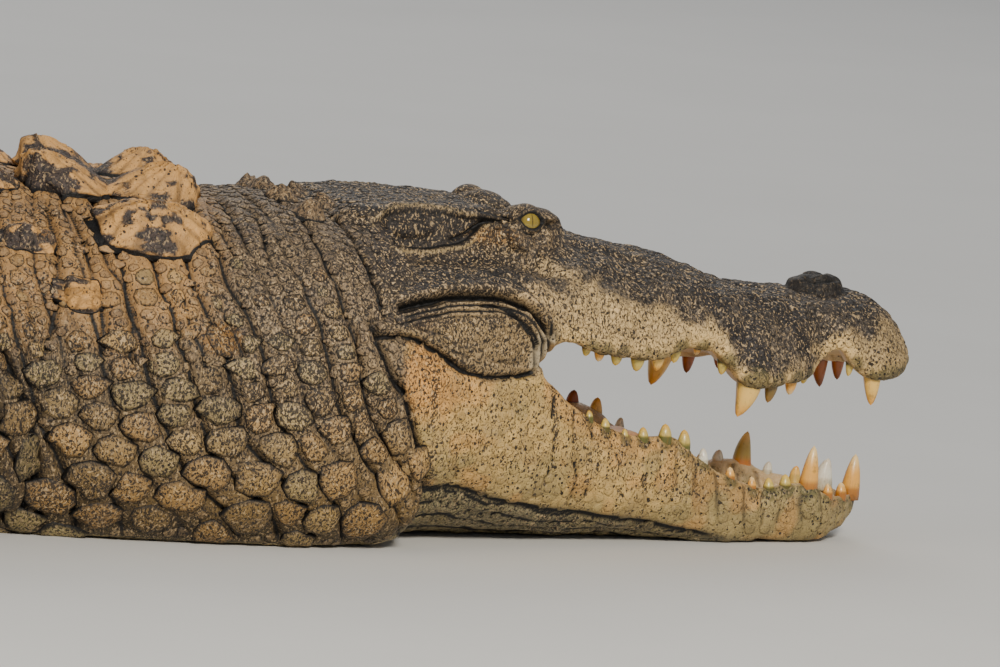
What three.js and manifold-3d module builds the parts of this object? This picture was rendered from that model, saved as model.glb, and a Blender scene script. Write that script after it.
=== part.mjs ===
// A life-size still model of a large mugger crocodile that lies on its belly with its mouth open.
//
// Millimetres, +Z up. The body is described first with a straight spine: x is the station along
// the spine (0 under the middle of the trunk, snout at +x, tail tip at -x), y is to the animal's
// left and z is the height above the floor. The neck, head and tail are then turned along the
// curved spine, section by section, so that cuts made across the spine stay flat.

import * as THREE from 'three';
import Module from 'manifold-3d';
import { mergeVertices } from 'three/addons/utils/BufferGeometryUtils.js';

const wasm = await Module();
wasm.setup();

const { sin, cos, abs, min, max, sign, hypot, PI } = Math;
const DEGREE = PI / 180;

// ---------------------------------------------------------------- driving dimensions

const GAP = 0.3;                 // between nodes that meet
const SNOUT_TIP = 1513;
const SKULL_BACK = 940;
const MOUTH_CORNER = 1090;
const CHEEK_CUT = 163;           // height of the cut between the head and the lower jaw
const SHOULDER = 560;
const VENT = -470;
const TAIL_TIP = -2500;

// Lengths of the body: [rear end, front end, steps].
const NECK_LENGTH = [SHOULDER, SKULL_BACK - GAP, 8];
const TRUNK_LENGTHS = {
  trunk_chest: [240, SHOULDER, 4],
  trunk_belly: [-120, 240, 3],
  trunk_loin: [VENT, -120, 5],
};
const TAIL_LENGTHS = [
  [-870, VENT, 4], [-1270, -870, 4], [-1690, -1270, 4], [-2110, -1690, 4], [TAIL_TIP, -2110, 4],
];

const HEAD_TURN = 26 * DEGREE;   // the head looks this far to the animal's left
const NECK_BEND = [560, 940];    // stations between which the neck turns
const TAIL_SWING = -13 * DEGREE; // heading change along the front and the rear of the tail
const TAIL_CURL = 34 * DEGREE;
const TAIL_SWING_BEND = [-560, -1250];
const TAIL_CURL_BEND = [-1300, -2350];

// ---------------------------------------------------------------- small maths

const clamp = (v, low, high) => min(max(v, low), high);
const mix = (a, b, k) => a + (b - a) * k;

function smoothstep(from, to, v) {
  const k = clamp((v - from) / (to - from), 0, 1);
  return k * k * (3 - 2 * k);
}

// A smooth curve through [station, value] pairs that never overshoots them.
function profile(pairs) {
  const points = [...pairs].sort((a, b) => a[0] - b[0]);
  const n = points.length;
  const slope = [];
  for (let i = 0; i < n - 1; i++) {
    slope.push((points[i + 1][1] - points[i][1]) / (points[i + 1][0] - points[i][0]));
  }
  const tangent = points.map((_, i) => {
    if (i === 0) return slope[0];
    if (i === n - 1) return slope[n - 2];
    const [a, b] = [slope[i - 1], slope[i]];
    return a * b <= 0 ? 0 : 2 * a * b / (a + b);
  });
  return (station) => {
    const x = clamp(station, points[0][0], points[n - 1][0]);
    let i = 0;
    while (i < n - 2 && x > points[i + 1][0]) i++;
    const h = points[i + 1][0] - points[i][0];
    const k = (x - points[i][0]) / h;
    const a = (1 + 2 * k) * (1 - k) * (1 - k) * points[i][1] + k * k * (3 - 2 * k) * points[i + 1][1];
    return a + h * k * (1 - k) * ((1 - k) * tangent[i] - k * tangent[i + 1]);
  };
}

// ---------------------------------------------------------------- the curved spine

function heading(station) {
  const neck = HEAD_TURN * smoothstep(...NECK_BEND, station);
  const swing = TAIL_SWING * smoothstep(...TAIL_SWING_BEND, station);
  const curl = TAIL_CURL * smoothstep(...TAIL_CURL_BEND, station);
  return neck - swing - curl;
}

const SPINE_STEP = 5;
const spineTable = new Map([[0, [0, 0]]]);
for (const way of [1, -1]) {
  let [x, y] = [0, 0];
  for (let i = 1; i * SPINE_STEP <= 2700; i++) {
    const angle = heading(way * (i - 0.5) * SPINE_STEP);
    x += way * SPINE_STEP * cos(angle);
    y += way * SPINE_STEP * sin(angle);
    spineTable.set(way * i, [x, y]);
  }
}

// Moves a point of the straight body to its place on the curved one.
function bend([station, y, z]) {
  const i = Math.floor(station / SPINE_STEP);
  const k = station / SPINE_STEP - i;
  const [a, b] = [spineTable.get(i), spineTable.get(i + 1)];
  const angle = heading(station);
  return [mix(a[0], b[0], k) - sin(angle) * y, mix(a[1], b[1], k) + cos(angle) * y, z];
}

// ---------------------------------------------------------------- solids

function toManifold(positions, triangles) {
  const geometry = new THREE.BufferGeometry();
  geometry.setAttribute('position', new THREE.Float32BufferAttribute(positions.flat(), 3));
  geometry.setIndex(triangles.flat());
  const merged = mergeVertices(geometry, 1e-3);
  return new wasm.Manifold(new wasm.Mesh({
    numProp: 3,
    vertProperties: new Float32Array(merged.attributes.position.array),
    triVerts: new Uint32Array(merged.index.array),
  }));
}

// A closed solid through rings of equally many points, or from one ring to a peak, with the
// rings clockwise as seen along the loft. What would be under the floor is a flat on it.
function loft(rings, peak = null) {
  const count = rings[0].length;
  const positions = rings.flat().map(([x, y, z]) => [x, y, max(z, 0)]);
  const triangles = [];
  for (let r = 0; r + 1 < rings.length; r++) {
    for (let i = 0; i < count; i++) {
      const [a, b] = [r * count + i, r * count + (i + 1) % count];
      const [c, d] = [a + count, b + count];
      triangles.push([a, b, d], [a, d, c]);
    }
  }
  for (const [start, way] of [[0, 1], [(rings.length - 1) * count, -1]]) {
    const ring = positions.slice(start, start + count);
    const centre = [0, 1, 2].map((axis) => ring.reduce((sum, p) => sum + p[axis], 0) / count);
    const hub = positions.push(way < 0 && peak ? peak : centre) - 1;
    for (let i = 0; i < count; i++) {
      const [a, b] = [start + i, start + (i + 1) % count];
      triangles.push(way > 0 ? [b, a, hub] : [a, b, hub]);
    }
  }
  return toManifold(positions, triangles);
}

function ball([x, y, z], [rx, ry, rz], across = 10, up = 6) {
  const sphere = new THREE.SphereGeometry(1, across, up);
  sphere.rotateX(PI / 2);
  sphere.scale(rx, ry, rz);
  sphere.translate(x, y, z);
  sphere.deleteAttribute('normal');
  sphere.deleteAttribute('uv');
  const merged = mergeVertices(sphere, 1e-3);
  const index = [];
  for (let i = 0; i < merged.index.count; i += 3) {
    const corner = [0, 1, 2].map((k) => merged.index.getX(i + k));
    if (new Set(corner).size === 3) index.push(...corner);
  }
  return new wasm.Manifold(new wasm.Mesh({
    numProp: 3,
    vertProperties: new Float32Array(merged.attributes.position.array),
    triVerts: new Uint32Array(index),
  }));
}

// A round cone from one point to another, such as a tooth, claw or keel.
function cone(base, tip, radius, { sides = 6, lean = [0, 0, 0] } = {}) {
  const start = new THREE.Vector3(...base);
  const end = new THREE.Vector3(...tip);
  const axis = end.clone().sub(start).normalize();
  const side = new THREE.Vector3(0, 0, 1).cross(axis);
  if (side.length() < 0.3) side.set(0, 1, 0).cross(axis);
  side.normalize();
  const up = axis.clone().cross(side);
  const ring = (k, r) => Array.from({ length: sides }, (_, i) => {
    const angle = 2 * PI * i / sides;
    return start.clone().lerp(end, k)
      .addScaledVector(new THREE.Vector3(...lean), 4 * k * (1 - k))
      .addScaledVector(side, r * cos(angle))
      .addScaledVector(up, r * sin(angle))
      .toArray();
  });
  const slender = start.distanceTo(end) > 4 * radius;
  return loft(slender ? [ring(0, radius), ring(0.55, radius * 0.72)] : [ring(0, radius)], tip);
}

// The main piece of a cut solid, without the slivers that a cut can leave beside it.
const mainPiece = (solid) => solid.decompose().sort((a, b) => b.volume() - a.volume())[0];

const mirrored = (point) => [point[0], -point[1], point[2]];
const group = new THREE.Group();

function finish(name, solid, material, { curved = false } = {}) {
  const mesh = solid.getMesh();
  const points = [];
  for (let i = 0; i < mesh.vertProperties.length; i += 3) {
    const point = Array.from(mesh.vertProperties.slice(i, i + 3));
    points.push(...(curved ? bend(point) : point));
  }
  const geometry = new THREE.BufferGeometry();
  geometry.setAttribute('position', new THREE.Float32BufferAttribute(points, 3));
  geometry.setIndex(Array.from(mesh.triVerts));
  const node = new THREE.Mesh(geometry, material);
  node.name = name;
  group.add(node);
}

const finishMaterial = (name, color, roughness) =>
  Object.assign(new THREE.MeshStandardMaterial({ color, roughness, metalness: 0 }), { name });
const skin = finishMaterial('hide', 0x6f6656, 0.75);
const jawSkin = finishMaterial('jaw_hide', 0x9a8f74, 0.7);
const mouthLining = finishMaterial('mouth_lining', 0xc9a06c, 0.5);
const eyeFinish = finishMaterial('eye', 0xa59a3c, 0.15);
const clawFinish = finishMaterial('claw', 0x2f2a26, 0.45);

// ---------------------------------------------------------------- neck, trunk and tail

const bodyTop = profile([
  [940, 294], [915, 289], [860, 296], [800, 294], [725, 298], [650, 300], [560, 314], [480, 340],
  [300, 378], [60, 398], [-180, 390], [-400, 345], [-560, 300], [-900, 246], [-1400, 196],
  [-1900, 150], [-2300, 88], [-2500, 30],
]);
const bodyHalfWidth = profile([
  [940, 174], [880, 190], [790, 188], [690, 196], [600, 222], [520, 252], [380, 300], [180, 334],
  [-40, 340], [-240, 312], [-380, 262], [-480, 205], [-640, 156], [-900, 118], [-1400, 74],
  [-1900, 42], [-2300, 20], [-2500, 6],
]);
// How far the round of the belly would reach below the floor, where it is flat instead.
const bodySink = profile([
  [940, 28], [900, 36], [700, 42], [520, 30], [300, 34], [0, 42], [-300, 30], [-480, 18], [-700, 16],
  [-1400, 10], [-2000, 5], [-2500, 1],
]);
const backSquareness = profile([
  [940, 2.5], [700, 2.2], [400, 2.35], [0, 2.5], [-500, 2.7], [-1400, 3], [-2500, 2.4],
]);
const widestHeight = profile([
  [940, 0.48], [600, 0.46], [0, 0.44], [-500, 0.46], [-1400, 0.42], [-2500, 0.5],
]);
const BELLY_SQUARENESS = 2.8;
const BODY_SIDES = 18;

function bodyRing(station, grow = 0) {
  const top = bodyTop(station) + grow;
  const half = bodyHalfWidth(station) + grow;
  const middle = top * widestHeight(station);
  const below = middle + bodySink(station) + grow;
  return Array.from({ length: BODY_SIDES }, (_, i) => {
    const angle = 2 * PI * (i + 0.5) / BODY_SIDES;
    const [c, s] = [cos(angle), sin(angle)];
    const power = 2 / (s > 0 ? backSquareness(station) : BELLY_SQUARENESS);
    const y = half * sign(c) * abs(c) ** power;
    const z = middle + (s > 0 ? (top - middle) : below) * sign(s) * abs(s) ** power;
    return [station, y, z];
  });
}

// One length of the body, shorter by the gap at its rear, or grown a little all round.
function bodyLength([rear, front, steps], grow = 0) {
  return loft(Array.from({ length: steps + 1 }, (_, i) => {
    const rearShift = grow > 0 ? -grow : GAP;
    const shift = i === 0 ? rearShift : (i === steps ? grow : 0);
    return bodyRing(mix(rear, front, i / steps), grow).map(([x, y, z]) => [x + shift, y, z]);
  }));
}

// Height of the body's upper surface above a point of the straight body's plan.
function backHeight(station, y) {
  const top = bodyTop(station);
  const middle = top * widestHeight(station);
  const across = min(abs(y) / bodyHalfWidth(station), 1);
  const n = backSquareness(station);
  return middle + (top - middle) * (1 - across ** n) ** (1 / n);
}

// Keeled scutes of the neck shield and, behind the skull, the small ones:
// [station, distance from the middle, length, width, height].
const NECK_SCUTES = [
  [756, 40, 84, 64, 34], [676, 40, 86, 66, 36], [742, 112, 92, 76, 26], [612, 60, 64, 58, 16],
  [650, 146, 46, 34, 13], [690, 175, 40, 36, 12],
  [872, 24, 30, 34, 12], [880, 72, 30, 34, 12], [912, 30, 26, 30, 12],
];
const SCUTE_CROWN = 0.42;        // the top of a scute, as a share of its foot

function neckScute(station, y, length, width, height) {
  const z = backHeight(station, y);
  const tilt = (backHeight(station, abs(y) + 10) - backHeight(station, abs(y) - 10)) / 20;
  const across = sign(y) * tilt * width / 2;
  const foot = [[-0.5, 0, 0], [-0.2, -0.5, -across], [0.25, -0.5, -across], [0.5, 0, 0],
    [0.25, 0.5, across], [-0.2, 0.5, across]];
  const ring = (grow, lift) => foot.map(([a, b, dz]) => [
    station + a * length * grow, y + b * width * grow - 0.6 * sign(y) * lift * tilt, z + dz * grow + lift,
  ]);
  return loft([ring(1.1, -6), ring(SCUTE_CROWN, height)]);
}

// The neck's skin rolls forward beside the throat:
const THROAT_ROLL = { station: 926, y: 112, z: 60, size: [48, 58, 58] };

function throatRoll(side, grow = 0) {
  const { station, y, z, size } = THROAT_ROLL;
  return ball([station, side * y, z], size.map((radius) => radius + grow), 8, 5);
}

let neck = bodyLength(NECK_LENGTH);
for (const side of [1, -1]) {
  neck = neck.add(throatRoll(side));
  for (const [station, y, ...size] of NECK_SCUTES) neck = neck.add(neckScute(station, side * y, ...size));
}
finish('neck', neck, skin, { curved: true });
for (const [name, length] of Object.entries(TRUNK_LENGTHS)) finish(name, bodyLength(length), skin);

// ---------------------------------------------------------------- tail with its crests

const CREST_JOIN = -1430;        // two rows of crest scutes run up to here, and one behind it
const DOUBLE_CRESTS = 15;
const SINGLE_CRESTS = 18;
const CREST_FOOT = 12;           // how deep a crest's foot is sunk in the tail
const crestHeight = profile([
  [VENT, 8], [-800, 24], [CREST_JOIN, 46], [-1600, 62], [-2100, 52], [-2500, 22],
]);

// A thin upright blade that leans back, with its foot sunk in the tail.
function crestScute(station, y, length, height) {
  const surface = backHeight(station, y);
  const thick = 3 + 0.08 * height;
  const plan = [[0.5, 0], [0, thick], [-0.5, 0], [0, -thick]];
  const foot = plan.map(([a, b]) => [station + a * length, y + b, surface - CREST_FOOT]);
  return loft([foot], [station - 0.4 * length, y, surface + height]);
}

function tailCrests() {
  const crests = [];
  const doubleStep = (CREST_JOIN - VENT) / DOUBLE_CRESTS;
  const singleStep = (TAIL_TIP - CREST_JOIN) / SINGLE_CRESTS;
  for (let i = 0; i < DOUBLE_CRESTS; i++) {
    const station = VENT + (i + 0.5) * doubleStep;
    const spread = 0.5 * bodyHalfWidth(station) * smoothstep(CREST_JOIN + 20, CREST_JOIN + 500, station);
    for (const side of [1, -1]) {
      crests.push([station, side * (spread + 9), abs(doubleStep) * 0.9, crestHeight(station)]);
    }
  }
  for (let i = 0; i < SINGLE_CRESTS; i++) {
    const station = CREST_JOIN + (i + 0.5) * singleStep;
    crests.push([station, 0, abs(singleStep) * 0.92, crestHeight(station)]);
  }
  return crests;
}

TAIL_LENGTHS.forEach(([rear, front, steps], i) => {
  let tail = bodyLength([rear, front, steps]);
  for (const [station, y, length, height] of tailCrests()) {
    if (station - 0.8 * length > rear && station + 0.5 * length < front) {
      tail = tail.add(crestScute(station, y, length, height));
    }
  }
  finish(`tail_${i + 1}`, tail, skin, { curved: true });
});

// ---------------------------------------------------------------- head and upper jaw

const snoutTop = profile([
  [940, 297], [1027, 297], [1062, 295], [1084, 287], [1130, 276], [1200, 262], [1262, 250],
  [1345, 228], [1400, 226], [1450, 226], [1480, 214], [1496, 201], [1507, 187], [1513, 172],
]);
const jawHalfWidth = profile([
  [940, 172], [1023, 160], [1100, 141], [1158, 127], [1225, 108], [1278, 99], [1320, 102], [1373, 83],
  [1406, 66], [1440, 67], [1460, 65], [1482, 56], [1497, 42], [1508, 26], [1513, 9],
]);
const upperLip = profile([
  [1090, 190], [1124, 186], [1150, 178], [1215, 171], [1248, 181], [1275, 178], [1318, 148], [1350, 149],
  [1385, 153], [1420, 177], [1450, 154], [1485, 154], [1513, 164],
]);

// A whole ring from its left half, which runs from the middle of the top to that of the underside.
function closedRing(station, half) {
  const left = half.slice(1, -1).map(([y, z]) => [station, y, z]);
  const [top, bottom] = [[station, 0, half[0][1]], [station, 0, half.at(-1)[1]]];
  return [top, ...left.map(mirrored), bottom, ...left.toReversed()];
}

const SNOUT_SQUARENESS = 2.3;
const SNOUT_ROUND = [90, 68, 48, 31, 14, 0];   // degrees up the dome of the snout

// Half sections from the middle of the top to the middle of the palate, as [y, z] pairs.
function snoutHalf(station) {
  const [half, top, lip] = [jawHalfWidth(station), snoutTop(station), upperLip(station)];
  const dome = SNOUT_ROUND.map((degrees) => {
    const [c, s] = [cos(degrees * DEGREE), sin(degrees * DEGREE)];
    const power = 2 / SNOUT_SQUARENESS;
    return [half * max(c, 0) ** power, lip + 8 + (top - lip - 8) * s ** power];
  });
  const gum = lip + 2;
  return [...dome, [half - 3, lip], [half * 0.72, gum], [0, gum + min(14, 0.2 * half)]];
}

function craniumHalf(station) {
  const top = snoutTop(station);
  const tableEdge = mix(80, 66, (station - SKULL_BACK) / 120);
  const wide = jawHalfWidth(station);
  return [[0, top], [tableEdge - 12, top + 1], [tableEdge, top - 8], [tableEdge + 12, top - 42],
    [wide - 32, 246], [wide - 10, 224], [wide, 192], [wide - 12, CHEEK_CUT + GAP], [0, CHEEK_CUT + GAP]];
}

function headRing(station) {
  const k = smoothstep(1130, 1070, station);
  const [snout, cranium] = [snoutHalf(station), craniumHalf(station)];
  const half = snout.map(([y, z], i) => [mix(y, cranium[i][0], k), mix(z, cranium[i][1], k)]);
  if (station > MOUTH_CORNER) {
    const open = smoothstep(MOUTH_CORNER, 1150, station);
    half[8][1] = mix(CHEEK_CUT + 14, snout[8][1], open);
  }
  return closedRing(station, half);
}

// A tooth on the inner side of a lip: [station, length, radius, backward lean of its tip].
function makeTooth([station, length, radius, lean = 0], side, { halfWidth, lip, inset, way }) {
  const y = side * max(halfWidth(station) - inset, 7);
  const gum = lip(station);
  const bow = { sides: radius > 7 ? 6 : 4, lean: [0.25 * lean, 1.5 * side, 0] };
  return cone([station, y, gum - 8 * way], [station - lean, y, gum + way * length], radius, bow);
}

const UPPER_TEETH = [
  [1502, 9, 5], [1489, 13, 6], [1477, 20, 6.5], [1461, 28, 8.5, -2], [1436, 12, 4],
  [1387, 8, 4.5], [1369, 14, 6], [1344, 18, 6.5, 2], [1319, 30, 12, 9], [1291, 12, 5.5],
  [1264, 7, 4.5], [1240, 14, 6], [1221, 13, 6.5], [1198, 13, 7], [1173, 10, 6], [1153, 9, 5.5],
  [1138, 8, 5],
];
const UPPER_SOCKETS = { halfWidth: jawHalfWidth, lip: upperLip, inset: 13, way: -1 };

const EYE = { station: 1095, y: 59, z: 283, radius: 15.5 };
const EAR = { station: 1000, y: 92, z: 279, size: [54, 9, 12] };

let head = loft([SKULL_BACK, 985, 1035, 1070, 1089, 1091, 1110, 1138, 1176, 1215, 1248, 1275, 1297, 1318,
  1345, 1375, 1402, 1420, 1436, 1450, 1468, 1484, 1497, 1507, SNOUT_TIP].map(headRing));
for (const side of [1, -1]) {
  head = head.add(ball([1100, side * 50, 270], [36, 33, 29], 10, 6));
  for (const row of UPPER_TEETH) head = head.add(makeTooth(row, side, UPPER_SOCKETS));
  head = head.subtract(ball([EYE.station, side * EYE.y, EYE.z], Array(3).fill(EYE.radius + GAP)));
  head = head.subtract(ball([EAR.station, side * EAR.y, EAR.z], EAR.size.map((r) => r + 3), 8, 4));
}
head = head.add(ball([1419, 0, 224], [36, 32, 19], 10, 6));

finish('head', head, skin, { curved: true });
for (const [label, side] of [['left', 1], ['right', -1]]) {
  const eye = ball([EYE.station, side * EYE.y, EYE.z], Array(3).fill(EYE.radius));
  finish(`eye_${label}`, eye, eyeFinish, { curved: true });
  const flap = ball([EAR.station, side * EAR.y, EAR.z], EAR.size, 8, 4);
  finish(`ear_flap_${label}`, flap, skin, { curved: true });
}

// ---------------------------------------------------------------- lower jaw and tongue

const lowerJawHalfWidth = profile([
  [940, 180], [985, 168], [1053, 150], [1158, 122], [1253, 99], [1320, 85], [1363, 76], [1399, 75],
  [1423, 68], [1443, 54], [1460, 38], [1472, 22], [1480, 8],
]);
const lowerLip = profile([
  [1085, 163], [1102, 147], [1124, 131], [1148, 119], [1195, 100], [1240, 99], [1276, 80], [1318, 60],
  [1350, 51], [1389, 55], [1424, 46], [1460, 44], [1480, 38],
]);
const jawBottom = profile([
  [940, 40], [1003, 52], [1068, 38], [1135, 27], [1203, 20], [1272, 9], [1340, 0], [1410, 0], [1446, 10],
  [1470, 24], [1480, 33],
]);
const throatBottom = profile([
  [940, -12], [1020, -8], [1150, -6], [1300, -2], [1400, 0], [1446, 10], [1480, 33],
]);

function lowerJawRing(station) {
  const wide = lowerJawHalfWidth(station);
  const [lip, bottom, throat] = [lowerLip(station), jawBottom(station), throatBottom(station)];
  const height = lip - bottom;
  const top = station <= MOUTH_CORNER ? min(lip, CHEEK_CUT) : lip;
  const open = smoothstep(MOUTH_CORNER - 4, MOUTH_CORNER + 80, station);
  const floor = top - open * min(0.42 * height, 22);
  const half = [
    [0, floor], [wide * mix(0.5, 0.62, open), floor], [wide * mix(0.8, 0.84, open), top - open],
    [wide - 4, top], [wide, top - 0.3 * height], [wide * 0.95, bottom + 0.25 * height],
    [wide * 0.82, bottom], [wide * 0.55, throat + 0.35 * max(bottom - throat, 0)], [0, throat],
  ];
  return closedRing(station, half);
}

const LOWER_TEETH = [
  [1463, 34, 9, -3], [1444, 9, 5.5], [1423, 9, 5], [1399, 37, 9, -3], [1375, 10, 6],
  [1358, 9, 5.5], [1339, 9, 4.5], [1313, 9, 5], [1281, 11, 5], [1258, 14, 6.5], [1236, 12, 6.5],
  [1211, 9, 5.5], [1190, 7, 4], [1167, 8, 5], [1148, 6, 4],
];
const LOWER_SOCKETS = { halfWidth: lowerJawHalfWidth, lip: lowerLip, inset: 8, way: 1 };

let lowerJaw = loft([SKULL_BACK, 975, 1030, 1085, 1094, 1110, 1135, 1165, 1200, 1240, 1280, 1315,
  1350, 1389, 1415, 1438, 1458, 1471, 1480].map(lowerJawRing));
for (const side of [1, -1]) {
  for (const row of LOWER_TEETH) lowerJaw = lowerJaw.add(makeTooth(row, side, LOWER_SOCKETS));
}

// The tongue lies on the floor of the mouth and is broad and flat.
const TONGUE = [1135, 1165, 1220, 1290, 1345, 1380];
const TONGUE_SIDES = 8;
function tongueRing(station, grow = 0) {
  const edgeRoom = 10 * grow;      // the thin edges of the tongue need more room sideways
  const half = lowerJawHalfWidth(station) * 0.5 * smoothstep(1392, 1330, station) + edgeRoom;
  const rise = 15 * smoothstep(1392, 1340, station) * smoothstep(1110, 1150, station) + grow;
  const height = lowerLip(station) - jawBottom(station);
  const floor = lowerLip(station) - min(0.42 * height, 22);
  return Array.from({ length: TONGUE_SIDES }, (_, i) => {
    const angle = 2 * PI * i / TONGUE_SIDES;
    return [station, half * cos(angle), floor + rise * sin(angle) * (sin(angle) > 0 ? 1 : 0.4)];
  });
}
const tongueSolid = (grow) => loft(TONGUE.map((station, i) => {
  const shift = i === 0 ? -grow : (i === TONGUE.length - 1 ? grow : 0);
  return tongueRing(station, grow).map(([x, y, z]) => [x + shift, y, z]);
}));
lowerJaw = lowerJaw.subtract(tongueSolid(GAP));
for (const side of [1, -1]) lowerJaw = lowerJaw.subtract(throatRoll(side, 2 * GAP));
finish('lower_jaw', lowerJaw, jawSkin, { curved: true });
finish('tongue', tongueSolid(0), mouthLining, { curved: true });

// ---------------------------------------------------------------- legs

const LIMB_SIDES = 8;
const TOE_SIDES = 5;
const RINGS_PER_JOINT = 2;
const UP = new THREE.Vector3(0, 0, 1);

function ringRound(centre, axis, radius) {
  const side = UP.clone().cross(axis).normalize();
  const up = axis.clone().cross(side);
  return Array.from({ length: LIMB_SIDES }, (_, i) => {
    const angle = 2 * PI * (i + 0.5) / LIMB_SIDES;
    return centre.clone()
      .addScaledVector(side, radius * cos(angle))
      .addScaledVector(up, radius * sin(angle))
      .toArray();
  });
}

// A tube along a smooth curve through joints given as [x, y, z, radius].
function makeLimb(joints) {
  const curve = new THREE.CatmullRomCurve3(joints.map((joint) => new THREE.Vector3(...joint.slice(0, 3))));
  const spans = joints.length - 1;
  const rings = Array.from({ length: spans * RINGS_PER_JOINT + 1 }, (_, i) => {
    const along = i / RINGS_PER_JOINT;
    const span = min(Math.floor(along), spans - 1);
    const radius = mix(joints[span][3], joints[span + 1][3], along - span);
    return ringRound(curve.getPoint(along / spans), curve.getTangent(along / spans), radius);
  });
  return { solid: loft(rings), tangentAt: (joint) => curve.getTangent(joint / spans) };
}

// A foot: a flat palm with its heel at the wrist, and tapered toes that spread from its front.
function makeFoot(name, wrist, { palm, width, heading: turn, toes, toeRadius, clawed }) {
  const forward = new THREE.Vector3(cos(turn), sin(turn), 0);
  const side = UP.clone().cross(forward);
  const palmRing = (along, half, top) => Array.from({ length: LIMB_SIDES }, (_, i) => {
    const angle = 2 * PI * (i + 0.5) / LIMB_SIDES;
    const point = wrist.clone().addScaledVector(forward, along).addScaledVector(side, half * cos(angle));
    return [point.x, point.y, top / 2 + (top / 2 + 3) * sin(angle)];
  });
  let foot = loft([
    palmRing(-0.3 * palm, 0.45 * width, 0.9 * wrist.z), palmRing(0, 0.7 * width, 1.4 * wrist.z),
    palmRing(0.45 * palm, 0.85 * width, 3 * toeRadius), palmRing(palm, 0.95 * width, 1.9 * toeRadius),
  ]);
  const claws = [];
  toes.forEach(([at, angle, length], i) => {
    const way = forward.clone().applyAxisAngle(UP, angle);
    const across = UP.clone().cross(way);
    const root = wrist.clone().addScaledVector(forward, 0.72 * palm).addScaledVector(side, at * width);
    const reach = 0.28 * palm + length;
    const toeRing = (along, radius, lift) => Array.from({ length: TOE_SIDES }, (_, k) => {
      const around = 2 * PI * (k + 0.5) / TOE_SIDES;
      const point = root.clone().addScaledVector(way, along).addScaledVector(across, radius * cos(around));
      return [point.x, point.y, 0.9 * radius + lift + radius * sin(around)];
    });
    foot = foot.add(loft([
      toeRing(0, toeRadius, 0),
      toeRing(0.5 * reach, 0.92 * toeRadius, 3),
      toeRing(reach, 0.6 * toeRadius, 0),
    ]));
    if (i < clawed) {
      const base = root.clone().addScaledVector(way, reach - 4).setZ(0.62 * toeRadius);
      const tip = base.clone().addScaledVector(way, 0.3 * length + 12).setZ(2.5);
      const claw = cone(base.toArray(), tip.toArray(), 0.42 * toeRadius, { sides: 5, lean: [0, 0, 4] });
      claws.push(claw.trimByPlane(way.toArray(), way.dot(root) + reach + GAP));
    }
  });
  claws.forEach((claw, i) => finish(`${name}_claw_${i + 1}`, claw, clawFinish));
  return { solid: foot, forward };
}

// The joints of each left leg; the right leg is mirrored, and its outer joints lie further back.
const LEGS = [
  {
    parts: ['upper_arm', 'forearm', 'forefoot'],
    joints: [
      [505, 150, 175, 82], [468, 262, 168, 74], [398, 372, 134, 52], [442, 438, 88, 42], [505, 488, 44, 31],
    ],
    foot: {
      palm: 74, width: 44, heading: 24 * DEGREE, toeRadius: 12, clawed: 3,
      toes: [[-0.85, -34, 58], [-0.42, -14, 74], [0.02, 4, 82], [0.45, 22, 70], [0.85, 44, 54]],
    },
  },
  {
    parts: ['thigh', 'shank', 'hindfoot'],
    joints: [
      [-418, 120, 176, 96], [-366, 245, 172, 88], [-292, 345, 142, 62], [-352, 415, 92, 50],
      [-432, 452, 50, 36],
    ],
    foot: {
      palm: 118, width: 46, heading: 38 * DEGREE, toeRadius: 14, clawed: 3,
      toes: [[-0.8, -24, 88], [-0.3, -8, 116], [0.28, 8, 118], [0.8, 26, 96]],
    },
  },
];
const MIDDLE_JOINT = 2;                      // the elbow or knee
const LAG = { left: [0, 0, 0, 0, 0], right: [0, 0, -14, -26, -34] };

const lengthsNearLegs = [NECK_LENGTH, ...Object.values(TRUNK_LENGTHS), TAIL_LENGTHS[0]];
const grownBody = lengthsNearLegs.map((length) => bodyLength(length, GAP));
const outsideBody = (solid) => grownBody.reduce((rest, length) => rest.subtract(length), solid);

for (const [label, side] of [['left', 1], ['right', -1]]) {
  for (const { parts, joints, foot } of LEGS) {
    const [upperName, lowerName, footName] = parts.map((part) => `${part}_${label}`);
    const placed = joints.map(([x, y, z, radius], i) => [x + LAG[label][i], side * y, z, radius]);
    const limb = makeLimb(placed);
    const wrist = new THREE.Vector3(...placed.at(-1).slice(0, 3));
    const sided = {
      ...foot,
      heading: side * foot.heading,
      toes: foot.toes.map(([at, degrees, length]) => [side * at, side * degrees * DEGREE, length]),
    };
    const paw = makeFoot(footName, wrist, sided);
    const leg = limb.solid.add(paw.solid);
    const cuts = [
      [new THREE.Vector3(...placed[MIDDLE_JOINT].slice(0, 3)), limb.tangentAt(MIDDLE_JOINT)],
      [wrist, limb.tangentAt(placed.length - 1).add(paw.forward).sub(UP).normalize()],
    ];
    const beyond = ([point, normal]) => leg.trimByPlane(normal.toArray(), normal.dot(point) + GAP / 2);
    const before = (solid, [point, normal]) =>
      solid.trimByPlane(normal.clone().negate().toArray(), -normal.dot(point) + GAP / 2);
    finish(upperName, mainPiece(outsideBody(before(leg, cuts[0]))), skin);
    finish(lowerName, mainPiece(before(beyond(cuts[0]), cuts[1])), skin);
    finish(footName, mainPiece(beyond(cuts[1])), skin);
  }
}

export default group;
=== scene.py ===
"""Looks of a life-size still model of a mugger crocodile that lies on its belly, mouth open.

Shapes are described with a straight spine in millimetres, as the frame's solids are: s is the
station along the spine, y is to the animal's left and z is the height above the floor. bend()
turns the neck, head and tail along the curved spine and gives metres.
"""

import itertools
import math

import bmesh
import bpy
import numpy as np
from mathutils import Matrix, Vector, kdtree


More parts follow.
